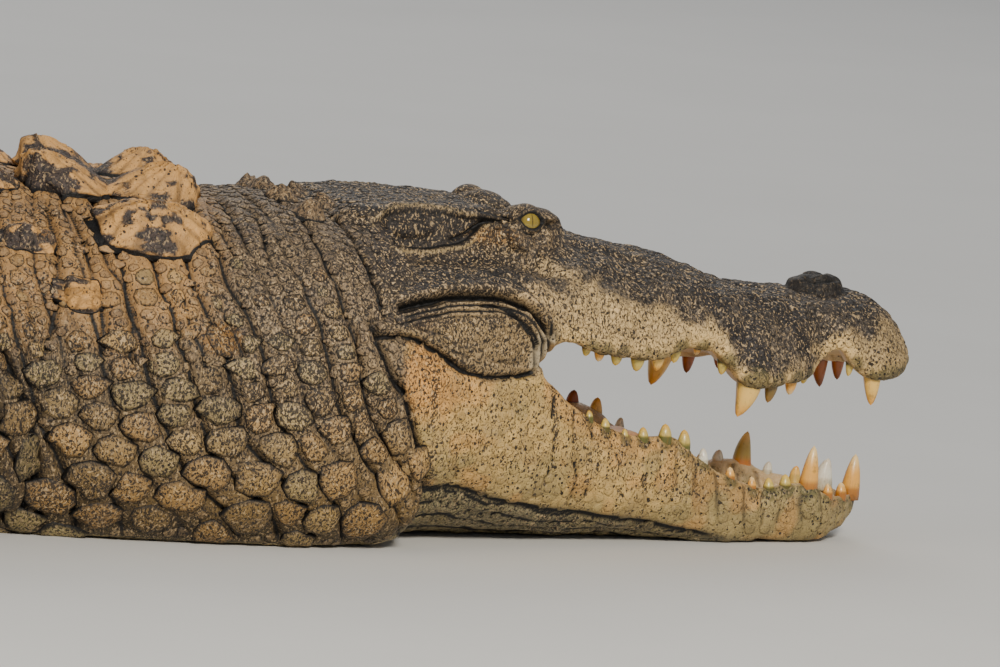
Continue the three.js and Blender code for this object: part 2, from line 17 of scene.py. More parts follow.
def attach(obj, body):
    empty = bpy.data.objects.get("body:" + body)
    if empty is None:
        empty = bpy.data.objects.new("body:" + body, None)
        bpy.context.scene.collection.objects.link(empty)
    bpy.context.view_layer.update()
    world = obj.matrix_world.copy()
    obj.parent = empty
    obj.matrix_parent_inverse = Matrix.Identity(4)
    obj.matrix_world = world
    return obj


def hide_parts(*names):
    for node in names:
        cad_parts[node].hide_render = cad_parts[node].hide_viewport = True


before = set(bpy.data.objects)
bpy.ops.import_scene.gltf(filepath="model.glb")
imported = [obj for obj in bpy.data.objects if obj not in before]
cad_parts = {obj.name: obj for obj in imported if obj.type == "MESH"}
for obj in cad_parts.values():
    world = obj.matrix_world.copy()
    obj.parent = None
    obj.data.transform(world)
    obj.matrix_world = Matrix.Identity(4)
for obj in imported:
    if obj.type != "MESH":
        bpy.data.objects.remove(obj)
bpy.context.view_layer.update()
rng = np.random.default_rng(7)

# ---------------------------------------------------------------- sizes shared with the solids

SNOUT_TIP = 1513
SKULL_BACK = 940
MOUTH_CORNER = 1090
CHEEK_CUT = 163
VENT = -470
TAIL_TIP = -2500
HEAD_TURN = math.radians(26)
TAIL_SWING = math.radians(-13)
TAIL_CURL = math.radians(34)


def clamp(value, low=0.0, high=1.0):
    return np.clip(value, low, high)


def mix(a, b, k):
    return a + (b - a) * k


def ramp(low, high, value):
    """0 at low and 1 at high, with soft ends; low may lie above high."""
    k = clamp((value - low) / (high - low))
    return k * k * (3 - 2 * k)


def band(value, start, full, fade, end):
    """1 from full to fade, softly down to 0 at start and at end."""
    return ramp(start, full, value) * ramp(end, fade, value)


def bell(value, width):
    return np.exp(-(value / width) ** 2)


def turns(count, start=0):
    """Evenly spaced angles of one full turn."""
    return 2 * np.pi * (np.arange(count) + start) / count


def unit(vector):
    return vector / np.linalg.norm(vector)


def hermite(k, a, b, slope_a, slope_b, span=1.0):
    """A cubic from a to b, at k from 0 to 1, with the given slopes at its ends."""
    curve = (1 + 2 * k) * (1 - k) ** 2 * a + k * k * (3 - 2 * k) * b
    return curve + span * k * (1 - k) * ((1 - k) * slope_a - k * slope_b)


def profile(*pairs):
    """A smooth curve through (station, value) pairs that never overshoots them."""
    x, y = np.array(sorted(pairs), float).T
    slope = np.diff(y) / np.diff(x)
    product = slope[:-1] * slope[1:]
    total = np.where(product > 0, slope[:-1] + slope[1:], 1)
    inner = np.where(product > 0, 2 * product / total, 0)
    tangent = np.concatenate([slope[:1], inner, slope[-1:]])

    def at(station):
        s = np.clip(station, x[0], x[-1])
        i = np.clip(np.searchsorted(x, s) - 1, 0, len(x) - 2)
        span = x[i + 1] - x[i]
        return hermite((s - x[i]) / span, y[i], y[i + 1], tangent[i], tangent[i + 1], span)

    return at


# ---------------------------------------------------------------- the curved spine

def heading(s):
    neck = HEAD_TURN * ramp(560, 940, s)
    return neck - TAIL_SWING * ramp(-560, -1250, s) - TAIL_CURL * ramp(-1300, -2350, s)


SPINE_STEP = 5
SPINE_REACH = 540                # steps each way
FORELEG_START, FORELEG_END = 450, 800
steps = np.arange(SPINE_REACH) + 0.5


def spine_half(way):
    angle = heading(way * steps * SPINE_STEP)
    leg = way * SPINE_STEP * np.stack([np.cos(angle), np.sin(angle)], 1)
    return np.cumsum(leg, axis=0)


spine = np.concatenate([spine_half(-1)[::-1], [[0, 0]], spine_half(1)])


def bend(points):
    """Straight-spine millimetres to the frame's metres. The forelegs stay straight beside it."""
    s, y, z = np.asarray(points, float).T
    foreleg = ramp(225, 265, np.abs(y)) * (s > FORELEG_START) * (s < FORELEG_END)
    at = clamp(s / SPINE_STEP + SPINE_REACH, 0, 2 * SPINE_REACH - 1e-6)
    i = at.astype(int)
    k = (at - i)[:, None]
    middle = spine[i] * (1 - k) + spine[i + 1] * k
    angle = heading(s)
    x_bent = middle[:, 0] - np.sin(angle) * y
    y_bent = middle[:, 1] + np.cos(angle) * y
    bent = [mix(x_bent, s, foreleg), mix(y_bent, y, foreleg), z]
    return np.stack(bent, 1) / 1000


# ---------------------------------------------------------------- sections of the animal

body_top = profile(
    (940, 294), (915, 289), (860, 296), (800, 294), (725, 298), (650, 300), (560, 314), (480, 340),
    (300, 378), (60, 398), (-180, 390), (-400, 345), (-560, 300), (-900, 246), (-1400, 196),
    (-1900, 150), (-2300, 88), (-2500, 30))
body_half_width = profile(
    (940, 174), (880, 190), (790, 188), (690, 196), (600, 222), (520, 252), (380, 300), (180, 334),
    (-40, 340), (-240, 312), (-380, 262), (-480, 205), (-640, 156), (-900, 118), (-1400, 74),
    (-1900, 42), (-2300, 20), (-2500, 6))
body_sink = profile(
    (940, 28), (900, 36), (700, 42), (520, 30), (300, 34), (0, 42), (-300, 30), (-480, 18),
    (-700, 16), (-1400, 10), (-2000, 5), (-2500, 1))
back_squareness = profile((940, 2.5), (700, 2.2), (400, 2.35), (0, 2.5), (-500, 2.7), (-1400, 3),
                          (-2500, 2.4))
widest_height = profile((940, 0.48), (600, 0.46), (0, 0.44), (-500, 0.46), (-1400, 0.42),
                        (-2500, 0.5))
BELLY_SQUARENESS = 2.8


def body_point(s, angle):
    """Points of the body's section at station s, with angle from the animal's left over its back."""
    s, angle = np.broadcast_arrays(np.asarray(s, float), angle)
    top = body_top(s)
    middle = top * widest_height(s)
    c, d = np.cos(angle), np.sin(angle)
    power = 2 / np.where(d > 0, back_squareness(s), BELLY_SQUARENESS)
    reach = np.where(d > 0, top - middle, middle + body_sink(s))
    y = body_half_width(s) * np.sign(c) * np.abs(c) ** power
    z = middle + reach * np.sign(d) * np.abs(d) ** power
    return np.stack([s, y, np.maximum(z, 0)], -1)


def back_height(s, y):
    top = body_top(s)
    middle = top * widest_height(s)
    across = np.minimum(np.abs(y) / body_half_width(s), 1)
    n = back_squareness(s)
    return middle + (top - middle) * (1 - across ** n) ** (1 / n)


snout_top = profile(
    (940, 297), (1027, 297), (1062, 295), (1084, 287), (1130, 276), (1200, 262), (1262, 250),
    (1345, 228), (1400, 226), (1450, 226), (1480, 214), (1496, 201), (1507, 187), (1513, 172))
jaw_half_width = profile(
    (940, 172), (1023, 160), (1100, 141), (1158, 127), (1225, 108), (1278, 99), (1320, 102),
    (1373, 83), (1406, 66), (1440, 67), (1460, 65), (1482, 56), (1497, 42), (1508, 26), (1513, 9))
upper_lip = profile(
    (1090, 190), (1124, 186), (1150, 178), (1215, 171), (1248, 181), (1275, 178), (1318, 148),
    (1350, 149), (1385, 153), (1420, 177), (1450, 154), (1485, 154), (1513, 164))
lower_jaw_half_width = profile(
    (940, 180), (985, 168), (1053, 150), (1158, 122), (1253, 99), (1320, 85), (1363, 76),
    (1399, 75), (1423, 68), (1443, 54), (1460, 38), (1472, 22), (1480, 8))
lower_lip = profile(
    (1085, 163), (1102, 147), (1124, 131), (1148, 119), (1195, 100), (1240, 99), (1276, 80),
    (1318, 60), (1350, 51), (1389, 55), (1424, 46), (1460, 44), (1480, 38))
jaw_bottom = profile(
    (940, 40), (1003, 52), (1068, 38), (1135, 27), (1203, 20), (1272, 9), (1340, 0), (1410, 0),
    (1446, 10), (1470, 24), (1480, 33))
throat_bottom = profile((940, -12), (1020, -8), (1150, -6), (1300, -2), (1400, 0), (1446, 10),
                        (1480, 33))
SNOUT_ROUND = np.radians([90, 68, 48, 31, 14, 0])
SNOUT_SQUARENESS = 2.3
LIP_HEIGHT = 8                   # from the lip's edge up to the widest part of the snout
LAP = 6                          # how far the skull and the jaw reach into each other at the cheek


def closed_rings(halves, s):
    """Whole rings from half sections (y, z) that run from the middle of the top to the bottom."""
    left = halves[:, 1:-1]
    right = left * [-1, 1]
    ring = np.concatenate([halves[:, :1], right, halves[:, -1:], left[:, ::-1]], 1)
    stations = np.repeat(s[:, None, None], ring.shape[1], 1)
    return np.concatenate([stations, ring], 2)


def half_sections(rows):
    """One array of half sections, from rows of (y, z) at all stations."""
    return np.stack([np.stack(np.broadcast_arrays(*row), 1) for row in rows], 1).astype(float)


def head_rings(s):
    half, top, lip = jaw_half_width(s), snout_top(s), upper_lip(s)
    power = 2 / SNOUT_SQUARENESS
    widest, gum = lip + LIP_HEIGHT, lip + 2
    snout = [(half * abs(math.cos(a)) ** power, widest + (top - lip - LIP_HEIGHT) * math.sin(a) ** power)
             for a in SNOUT_ROUND]
    snout += [(half - 3, lip), (half * 0.72, gum), (0 * s, gum + np.minimum(14, 0.2 * half))]
    table = mix(80, 66, (s - SKULL_BACK) / 120)
    cut = CHEEK_CUT - LAP
    cranium = [(0 * s, top), (table - 12, top + 1), (table, top - 8), (table + 12, top - 42),
               (half - 32, 246), (half - 10, 224), (half, 192), (half - 12, cut), (0 * s, cut)]
    snout, cranium = half_sections(snout), half_sections(cranium)
    eased = mix(CHEEK_CUT + 14, snout[:, -1, 1], ramp(MOUTH_CORNER, 1150, s))
    halves = mix(snout, cranium, ramp(1130, 1070, s)[:, None, None])
    halves[:, -1, 1] = np.where(s > MOUTH_CORNER, eased, halves[:, -1, 1])
    return closed_rings(halves, s)


def lower_jaw_rings(s):
    wide, lip, bottom = lower_jaw_half_width(s), lower_lip(s), jaw_bottom(s)
    throat = throat_bottom(s)
    height = lip - bottom
    top = np.where(s <= MOUTH_CORNER, np.minimum(lip, CHEEK_CUT) + LAP, lip)
    opened = ramp(MOUTH_CORNER - 4, MOUTH_CORNER + 80, s)
    floor = top - opened * np.minimum(0.42 * height, 22)
    sag = 0.35 * np.maximum(bottom - throat, 0)
    rows = [(0 * s, floor), (wide * mix(0.5, 0.62, opened), floor),
            (wide * mix(0.8, 0.84, opened), top - opened), (wide - 4, top),
            (wide, top - 0.3 * height), (wide * 0.95, bottom + 0.25 * height),
            (wide * 0.82, bottom), (wide * 0.55, throat + sag), (0 * s, throat)]
    return closed_rings(half_sections(rows), s)


def rounded_rings(rings, per_side=6):
    """Closed smooth curves through the points of each ring, with no overshoot."""
    before, after = np.roll(rings, 1, 1), np.roll(rings, -1, 1)
    short = np.minimum(np.linalg.norm(rings - before, axis=2), np.linalg.norm(after - rings, axis=2))
    way = after - before
    length = np.maximum(np.linalg.norm(way, axis=2), 1e-6)
    tangent = way * (short / length)[..., None]
    ahead = np.roll(tangent, -1, 1)
    k = (np.arange(per_side) / per_side)[None, None, :, None]
    a, b, ta, tb = (v[:, :, None] for v in (rings, after, tangent, ahead))
    return hermite(k, a, b, ta, tb).reshape(len(rings), -1, 3)


# ---------------------------------------------------------------- small mesh tools

def cloud(points, size, seed=0):
    """Smooth random values from -1 to 1, with features about size millimetres across."""
    q = np.asarray(points, float) / size
    cell = np.floor(q).astype(np.int64)
    k = q - cell
    k = k * k * (3 - 2 * k)
    total = np.zeros(len(q))
    for corner in itertools.product((0, 1), repeat=3):
        c = cell + np.array(corner)
        h = (c[:, 0] * 73856093) ^ (c[:, 1] * 19349663) ^ (c[:, 2] * 83492791) ^ (seed * 40503 + 977)
        h = ((h ^ (h >> 13)) * 1274126177) & 0xFFFFFFFF
        h = (h ^ (h >> 16)) & 0xFFFFFF
        weight = np.prod(np.where(np.array(corner) > 0, k, 1 - k), axis=1)
        total += weight * (h / 0x800000 - 1)
    return total


def loft(rings, closed_ends=True):
    """Vertices and faces of a tube through rings of equally many points."""
    count, around = rings.shape[:2]
    points = rings.reshape(-1, 3)
    r, i = np.meshgrid(np.arange(count - 1), np.arange(around), indexing="ij")
    a, b = r * around + i, r * around + (i + 1) % around
    faces = np.stack([a, b, b + around, a + around], -1).reshape(-1, 4).tolist()
    if closed_ends:
        faces.append(list(range(around))[::-1])
        last = (count - 1) * around
        faces.append(list(range(last, last + around)))
    return points, faces


def ball(centre, radii, across=40, up=24):
    u = np.linspace(0, 2 * np.pi, across, endpoint=False)
    v = np.linspace(0.02, np.pi - 0.02, up)
    rings = np.stack([np.outer(np.sin(v), np.cos(u)), np.outer(np.sin(v), np.sin(u)),
                      np.repeat(np.cos(v)[:, None], across, 1)], -1)
    return loft(rings[::-1] * np.asarray(radii, float) + np.asarray(centre, float))


def joined(*parts):
    points, faces, start = [], [], 0
    for some, those in parts:
        points.append(some)
        faces += [[start + v for v in face] for face in those]
        start += len(some)
    return np.concatenate(points), faces


def build_mesh(name, points, faces):
    mesh = bpy.data.meshes.new(name)
    mesh.from_pydata(points.tolist(), [], faces if isinstance(faces, list) else faces.tolist())
    return mesh


def add_colour(mesh, name, values):
    kind = "BYTE_COLOR" if name == "tone" else "FLOAT_COLOR"
    layer = mesh.color_attributes.new(name, kind, "POINT")
    rgba = np.ones((len(mesh.vertices), 4), np.float32)
    rgba[:, :values.shape[1]] = values
    layer.data.foreach_set("color", rgba.ravel())


def add_object(name, data):
    thing = bpy.data.objects.new(name, data)
    bpy.context.scene.collection.objects.link(thing)
    return thing


def finished(name, mesh, material, slot, replaced=()):
    """A smooth object of one material that rides on the root."""
    mesh.materials.append(material)
    mesh.polygons.foreach_set("use_smooth", [True] * len(mesh.polygons))
    mesh.update()
    thing = add_object(name, mesh)
    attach(thing, "root")
    if replaced:
        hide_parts(*replaced)


def piece(name, points, faces, material, slot, replaced=(), tones=None):
    """A finished object from straight-spine millimetres, bent to its place."""
    mesh = build_mesh(name, bend(points), faces)
    if tones is not None:
        add_colour(mesh, "tone", tones)
        add_colour(mesh, "marks", np.zeros((len(points), 3)))
    finished(name, mesh, material, slot, replaced)


def tangent_frame(normals):
    """Unit vectors along and across each normal's surface."""
    along = np.broadcast_to([1.0, 0.0, 0.0], normals.shape)
    first = along - normals * np.sum(along * normals, 1, keepdims=True)
    weak = np.linalg.norm(first, axis=1) < 0.25
    first[weak] = np.cross(np.array([0.0, 1.0, 0.0]), normals[weak])
    first /= np.maximum(np.linalg.norm(first, axis=1, keepdims=True), 1e-9)
    return first, np.cross(normals, first)


# ---------------------------------------------------------------- legs

LEGS = {
    "fore": dict(
        joints=[(505, 150, 175, 82), (468, 262, 168, 74), (398, 372, 134, 52), (442, 438, 88, 42),
                (505, 488, 44, 31)],
        palm=74, width=44, turn=24, toe_radius=12,
        toes=[(-0.85, -34, 58), (-0.42, -14, 74), (0.02, 4, 82), (0.45, 22, 70), (0.85, 44, 54)]),
    "hind": dict(
        joints=[(-418, 120, 176, 96), (-366, 245, 172, 88), (-292, 345, 142, 62),
                (-352, 415, 92, 50), (-432, 452, 50, 36)],
        palm=118, width=46, turn=38, toe_radius=14,
        toes=[(-0.8, -24, 88), (-0.3, -8, 116), (0.28, 8, 118), (0.8, 26, 96)]),
}
CLAWED = 3
LAG = {1: (0, 0, 0, 0, 0), -1: (0, 0, -14, -26, -34)}
LIMB_SIDES = 36
UP = np.array([0.0, 0.0, 1.0])


def placed_joints(leg, side):
    return np.array([(x + lag, side * y, z, r) for (x, y, z, r), lag in zip(leg["joints"], LAG[side])])


def limb_curve(points, t):
    """A centripetal curve through points, at t from 0 to 1 with equal shares of t between them."""
    ends = [2 * points[0] - points[1], *points, 2 * points[-1] - points[-2]]
    at = min(t, 1 - 1e-9) * (len(points) - 1)
    i = int(at)
    k = at - i
    p0, p1, p2, p3 = (np.asarray(p, float) for p in ends[i:i + 4])
    d0, d1, d2 = (math.sqrt(np.linalg.norm(b - a)) for a, b in ((p0, p1), (p1, p2), (p2, p3)))
    ta = ((p1 - p0) / d0 - (p2 - p0) / (d0 + d1) + (p2 - p1) / d1) * d1
    tb = ((p2 - p1) / d1 - (p3 - p1) / (d1 + d2) + (p3 - p2) / d2) * d1
    return hermite(k, p1, p2, ta, tb)


def rings_round(centre, axis, radius, angles):
    side = unit(np.cross(UP, axis))
    up = np.cross(axis, side)
    return centre + radius * (np.cos(angles)[:, None] * side + np.sin(angles)[:, None] * up)


def limb_ring(joints, t, angles):
    centre = limb_curve(joints[:, :3], t)
    axis = limb_curve(joints[:, :3], min(t + 0.01, 1)) - limb_curve(joints[:, :3], max(t - 0.01, 0))
    at = t * (len(joints) - 1)
    i = min(int(at), len(joints) - 2)
    radius = mix(joints[i][3], joints[i + 1][3], at - i)
    return rings_round(centre, unit(axis), radius, angles)


def turned(direction, angle):
    c, s = math.cos(angle), math.sin(angle)
    return np.array([c * direction[0] - s * direction[1], s * direction[0] + c * direction[1], 0.0])


def foot_layout(leg, side):
    joints = placed_joints(leg, side)
    wrist = joints[-1][:3]
    forward = turned((1, 0), side * math.radians(leg["turn"]))
    toes = []
    for at, degrees, length in leg["toes"]:
        way = turned(forward, side * math.radians(degrees))
        root = wrist + forward * 0.72 * leg["palm"] + np.cross(UP, forward) * side * at * leg["width"]
        toes.append((root, way, 0.28 * leg["palm"] + length, length))
    return joints, wrist, forward, toes


def toe_ring(root, way, along, radius, lift, angles):
    across = np.cross(UP, way)
    flat = root * [1, 1, 0] + way * along
    z = 0.9 * radius + lift + radius * np.sin(angles)
    return flat + radius * np.cos(angles)[:, None] * across + z[:, None] * UP


def toe_section(leg, toe, share, angles):
    root, way, reach, _ = toe
    radius = leg["toe_radius"] * float(np.interp(share, [0, 0.5, 1], [1, 0.92, 0.62]))
    knuckle = 1 + 0.07 * math.cos(2 * math.pi * 3 * share)
    lift = 3 * math.sin(math.pi * share)
    return toe_ring(root, way, share * reach, radius * knuckle, lift, angles)


def leg_parts(leg, side):
    """Closed tubes of one leg: the limb, the palm and its toes."""
    joints, wrist, forward, toes = foot_layout(leg, side)
    angles = turns(LIMB_SIDES)
    parts = [loft(np.array([limb_ring(joints, t, angles) for t in np.linspace(0, 1, 41)]))]
    across = np.cross(UP, forward)
    palm, width, toe_radius = leg["palm"], leg["width"], leg["toe_radius"]
    stations = [-0.3 * palm, 0, 0.45 * palm, palm]
    halves = [0.45 * width, 0.7 * width, 0.85 * width, 0.95 * width]
    tops = [0.9 * wrist[2], 1.4 * wrist[2], 3 * toe_radius, 1.9 * toe_radius]
    rings = []
    for along in np.linspace(stations[0], stations[-1], 12):
        half, top = np.interp(along, stations, halves), np.interp(along, stations, tops)
        z = top / 2 + (top / 2 + 3) * np.sin(angles)
        flat = wrist * [1, 1, 0] + forward * along + half * np.cos(angles)[:, None] * across
        rings.append(flat + z[:, None] * UP)
    parts.append(loft(np.array(rings)))
    for toe in toes:
        sections = [toe_section(leg, toe, share, angles[::2]) for share in np.linspace(0, 1, 12)]
        parts.append(loft(np.array(sections)))
    return parts


# ---------------------------------------------------------------- features of the head

EYE = dict(s=1095, y=59, z=283, radius=15.5)
EYE_WAY = np.array([0.02, 0.93, 0.3])       # where the left eye looks
EAR_UPPER = [(938, 281), (959, 292), (998, 293), (1038, 287), (1057, 286)]
EAR_LOWER = [(936, 272), (952, 264), (984, 261), (1013, 264), (1033, 268), (1050, 283), (1060, 289)]
EAR_SLIT = [(1014, 268), (1030, 272), (1044, 280), (1059, 288)]
EAR_BEADS = 34
CHEEK_FOLD = [(924, 217), (944, 222), (962, 225), (979, 228), (1006, 229), (1035, 228),
              (1055, 223), (1068, 217), (1082, 203), (1091, 188)]
CHEEK_OUTER = [(1030, 247), (1048, 245), (1063, 239), (1079, 223), (1089, 203), (1093, 186)]
CHEEK_INNER = [(1006, 220), (1026, 220), (1044, 215), (1058, 206), (1070, 192), (1080, 176)]
PAD_LOWER = [(900, 193), (930, 194), (948, 190), (969, 180), (985, 171), (1000, 164),
             (1030, 158), (1060, 159), (1086, 163)]
PAD_CREASES = [[(944, 203), (960, 199), (978, 196)], [(972, 188), (990, 180), (1008, 175)],
               [(1020, 176), (1042, 171), (1062, 172)]]
pad_lower_line = profile(*PAD_LOWER)
NECK_EDGE = [(900, 215), (908, 189), (924, 158), (941, 132), (953, 106), (965, 84), (973, 66),
             (976, 44), (966, 26), (946, 12)]
neck_edge = profile((0, 940), *[(z, s) for s, z in NECK_EDGE], (260, 900))
SHOULDER_FOLD = [(622, 200), (636, 172), (646, 150), (662, 108), (670, 57), (662, 18)]
NAPE_FOLD = [(903, 316), (904, 285), (911, 241), (917, 206)]
NOSTRIL_BOSS = dict(s=1421, z=229, radii=(28, 25, 12))
# Balls that swell each side of the head: the eye's socket, the throat roll and the jowl.
SWELLS = [((1100, 50, 270), (36, 33, 29)), ((932, 116, 50), (52, 60, 52)),
          ((918, 120, 98), (50, 60, 88))]
KNOB = (788, 182, 187)           # the neck's large mossy scale, on each side


def smooth_path(points, per_side=8):
    points = np.asarray(points, float)
    ends = np.concatenate([2 * points[:1] - points[1:2], points, 2 * points[-1:] - points[-2:-1]])
    k = np.linspace(0, 1, per_side, endpoint=False)[None, :, None]
    p0, p1, p2, p3 = ends[:-3, None], ends[1:-2, None], ends[2:-1, None], ends[3:, None]
    curve = hermite(k, p1, p2, (p2 - p0) / 2, (p3 - p1) / 2)
    return np.concatenate([curve.reshape(-1, points.shape[1]), points[-1:]])


def path_distance(flat, path):
    """Signed distance of 2-D points to a smooth path (+ is to its left), and the share along it."""
    path = smooth_path(path)
    a, b = path[:-1], path[1:]
    way = b - a
    length = np.linalg.norm(way, axis=1)
    best = np.full(len(flat), 1e9)
    side = np.zeros(len(flat))
    share = np.zeros(len(flat))
    run = np.concatenate([[0], np.cumsum(length)])
    for i in range(len(a)):
        offset = flat - a[i]
        k = clamp(offset @ way[i] / length[i] ** 2)
        gap = offset - k[:, None] * way[i]
        distance = np.hypot(gap[:, 0], gap[:, 1])
        nearer = distance < best
        best = np.where(nearer, distance, best)
        turn = way[i][0] * offset[:, 1] - way[i][1] * offset[:, 0]
        side = np.where(nearer, np.sign(turn), side)
        share = np.where(nearer, (run[i] + k * length[i]) / run[-1], share)
    return best * np.where(side == 0, 1, side), share


def eye_share(points):
    """How far each point lies from the eye's opening, 1 on its almond rim and less inside it;
    also its distance and way from the eye's centre, that centre and the height across the opening."""
    centre = np.array([EYE["s"], EYE["y"], EYE["z"]])
    offset = np.stack([points[:, 0], np.abs(points[:, 1]), points[:, 2]], 1) - centre
    radius = np.linalg.norm(offset, axis=1)
    way = offset / np.maximum(radius, 1e-6)[:, None]
    out = unit(EYE_WAY)
    forward = unit(np.array([1.0, 0, 0]) - out * out[0])
    up = np.cross(out, forward)
    up = up if up[2] > 0 else -up
    a, b = way @ forward, way @ up
    facing = way @ out
    tilt = math.radians(7)
    a, b = a * math.cos(tilt) - b * math.sin(tilt), a * math.sin(tilt) + b * math.cos(tilt)
    half_length, half_height = 0.60, np.where(b > 0, 0.36, 0.40)
    narrowing = np.sqrt(clamp(1.05 - (a / 0.72) ** 2, 0.12, 1))
    share = np.hypot(a / half_length, b / half_height / narrowing)
    return np.where(facing < 0.05, 9, share), radius, way, centre, b


# ---------------------------------------------------------------- the skin's rough form

VOXEL = 7.0
FLOOR_GAP = 0.5                  # the skin's lowest points lie this high
HEAD_FINENESS = 2.6              # the head's cells are this much finer than the tail's


def fineness(s):
    return 1 + (HEAD_FINENESS - 1) * ramp(100, 920, s)


warp_s = np.arange(-2700.0, 1701.0, 2.0)
warp_run = np.concatenate([[0], np.cumsum(fineness(warp_s[:-1] + 1) * 2.0)])


def warped(points):
    f = fineness(points[:, 0])
    run = np.interp(points[:, 0], warp_s, warp_run)
    return np.stack([run, points[:, 1] * f, points[:, 2] * f], 1)


def unwarped(points):
    s = np.interp(points[:, 0], warp_run, warp_s)
    f = fineness(s)
    return np.stack([s, points[:, 1] / f, points[:, 2] / f], 1)


def rough_form():
    """Closed overlapping tubes of the whole animal."""
    around = np.linspace(0, 2 * np.pi, 96, endpoint=False)
    body = body_point(np.arange(TAIL_TIP, 951.0, 10)[:, None], around[None])
    skull_s = np.concatenate([np.arange(934.0, 1500, 5), np.arange(1500, SNOUT_TIP + 0.1, 1.5)])
    jaw_s = np.concatenate([np.arange(934.0, 1470, 5), np.arange(1470, 1480.1, 1.5)])
    parts = [loft(body)]
    # The skull's last section, carried on into the neck and shrunk.
    nape_s = np.arange(870.0, 934, 8)
    nape = head_rings(np.full(len(nape_s), 936.0))
    shrink = ramp(936, 858, nape_s)[:, None]
    nape[..., 0] = nape_s[:, None]
    nape[..., 1] *= 1 - 0.16 * shrink
    nape[..., 2] = mix(nape[..., 2], 120 + 0.80 * (nape[..., 2] - 120), shrink)
    for rings in (np.concatenate([nape, head_rings(skull_s)]), lower_jaw_rings(jaw_s)):
        curve = rounded_rings(rings)
        curve[..., 2] = np.maximum(curve[..., 2], 0)
        parts.append(loft(curve[:, ::-1]))
    for side in (1, -1):
        parts += [ball((s, side * y, z), radii) for (s, y, z), radii in SWELLS]
        for leg in LEGS.values():
            parts += leg_parts(leg, side)
    parts.append(ball((NOSTRIL_BOSS["s"], 0, NOSTRIL_BOSS["z"]), NOSTRIL_BOSS["radii"]))
    points, faces = joined(*parts)
    points[:, 2] = np.maximum(points[:, 2], FLOOR_GAP)
    return points, faces


def read(items, key, width, kind=np.float32):
    """One property of all of a mesh's items, in rows."""
    values = np.empty(len(items) * width, kind)
    items.foreach_get(key, values)
    return values.reshape(-1, width)


def straight_points(mesh):
    return unwarped(read(mesh.vertices, "co", 3).astype(float))


def remeshed(points, faces):
    thing = add_object("rough", build_mesh("rough", warped(points), faces))
    modifier = thing.modifiers.new("remesh", "REMESH")
    modifier.mode = "VOXEL"
    modifier.voxel_size = VOXEL
    modifier.adaptivity = 0
    evaluated = thing.evaluated_get(bpy.context.evaluated_depsgraph_get())
    result = bpy.data.meshes.new_from_object(evaluated)
    bpy.data.objects.remove(thing)
    return result


def refine(mesh, chosen):
    """Splits the chosen quads in four."""
    work = bmesh.new()
    work.from_mesh(mesh)
    work.faces.ensure_lookup_table()
    edges = {edge for index in chosen for edge in work.faces[index].edges}
    bmesh.ops.subdivide_edges(work, edges=list(edges), cuts=1, use_grid_fill=True)
    work.to_mesh(mesh)
    work.free()


class Surface:
    """The skin as arrays: points in straight-spine millimetres, polygons and their normals."""

    def __init__(self, mesh):
        self.points = straight_points(mesh)
        self.mesh = mesh
        self.a, self.b = read(mesh.edges, "vertices", 2, np.int32).T
        self.degree = np.bincount(np.concatenate([self.a, self.b]), minlength=len(self.points))
        self.update()

    def update(self):
        self.mesh.vertices.foreach_set("co", self.points.astype(np.float32).ravel())
        self.mesh.update()
        self.normals = read(self.mesh.vertex_normals, "vector", 3).astype(float)

    def average(self, values):
        total = np.empty_like(values)
        for axis in range(values.shape[1]):
            column = values[:, axis]
            total[:, axis] = np.bincount(self.a, column[self.b], len(values))
            total[:, axis] += np.bincount(self.b, column[self.a], len(values))
        return total / self.degree[:, None]

    def relax(self, rounds, share=0.5):
        for _ in range(rounds):
            self.points = mix(self.points, self.average(self.points), share)
        self.points[:, 2] = np.maximum(self.points[:, 2], FLOOR_GAP)

    def push(self, distance):
        self.points = self.points + self.normals * distance[:, None]
        self.points[:, 2] = np.maximum(self.points[:, 2], FLOOR_GAP)
        self.update()


# ---------------------------------------------------------------- the skin's relief

COAT_DEPTH = 1.6
CREASE_PITCH = 27.0


def crease_run(points):
    """Columns of the neck's folds: whole numbers lie on the long creases, halves between them."""
    s, y, z = points.T
    sweep = 50 * ramp(140, 0, z) * mix(0.3, 1.0, ramp(680, 880, s))
    wave = 6 * cloud(points, 80, 3) + 3 * cloud(points, 26, 4)
    return (s + 0.24 * (z - 300) - sweep + wave) / CREASE_PITCH


STRAP_FOLDS = [
    [(686, 84, 288), (696, 108, 277), (704, 134, 262), (710, 153, 245), (720, 163, 232),
     (728, 181, 199), (726, 191, 156)],
    [(662, 84, 291), (670, 131, 266), (674, 165, 237), (674, 186, 203), (670, 197, 170)],
    [(682, 92, 285), (692, 136, 261), (698, 160, 239), (706, 180, 207), (709, 190, 170)]]


def strap_distance(points):
    """Distance from the slanting straps' creases behind the neck's large scutes."""
    least = np.full(len(points), 99.0)
    near = (points[:, 0] > 640) & (points[:, 0] < 745) & (points[:, 2] > 140)
    spots = points[near] * [1, 0, 1] + np.abs(points[near]) * [0, 1, 0]
    for path in STRAP_FOLDS:
        share = np.linspace(0, len(path) - 1, 12 * len(path))
        line = np.stack([np.interp(share, np.arange(len(path)), axis) for axis in zip(*path)], 1)
        for place in line:
            away = np.linalg.norm(spots - place, axis=1)
            least[near] = np.minimum(least[near], away)
    return least


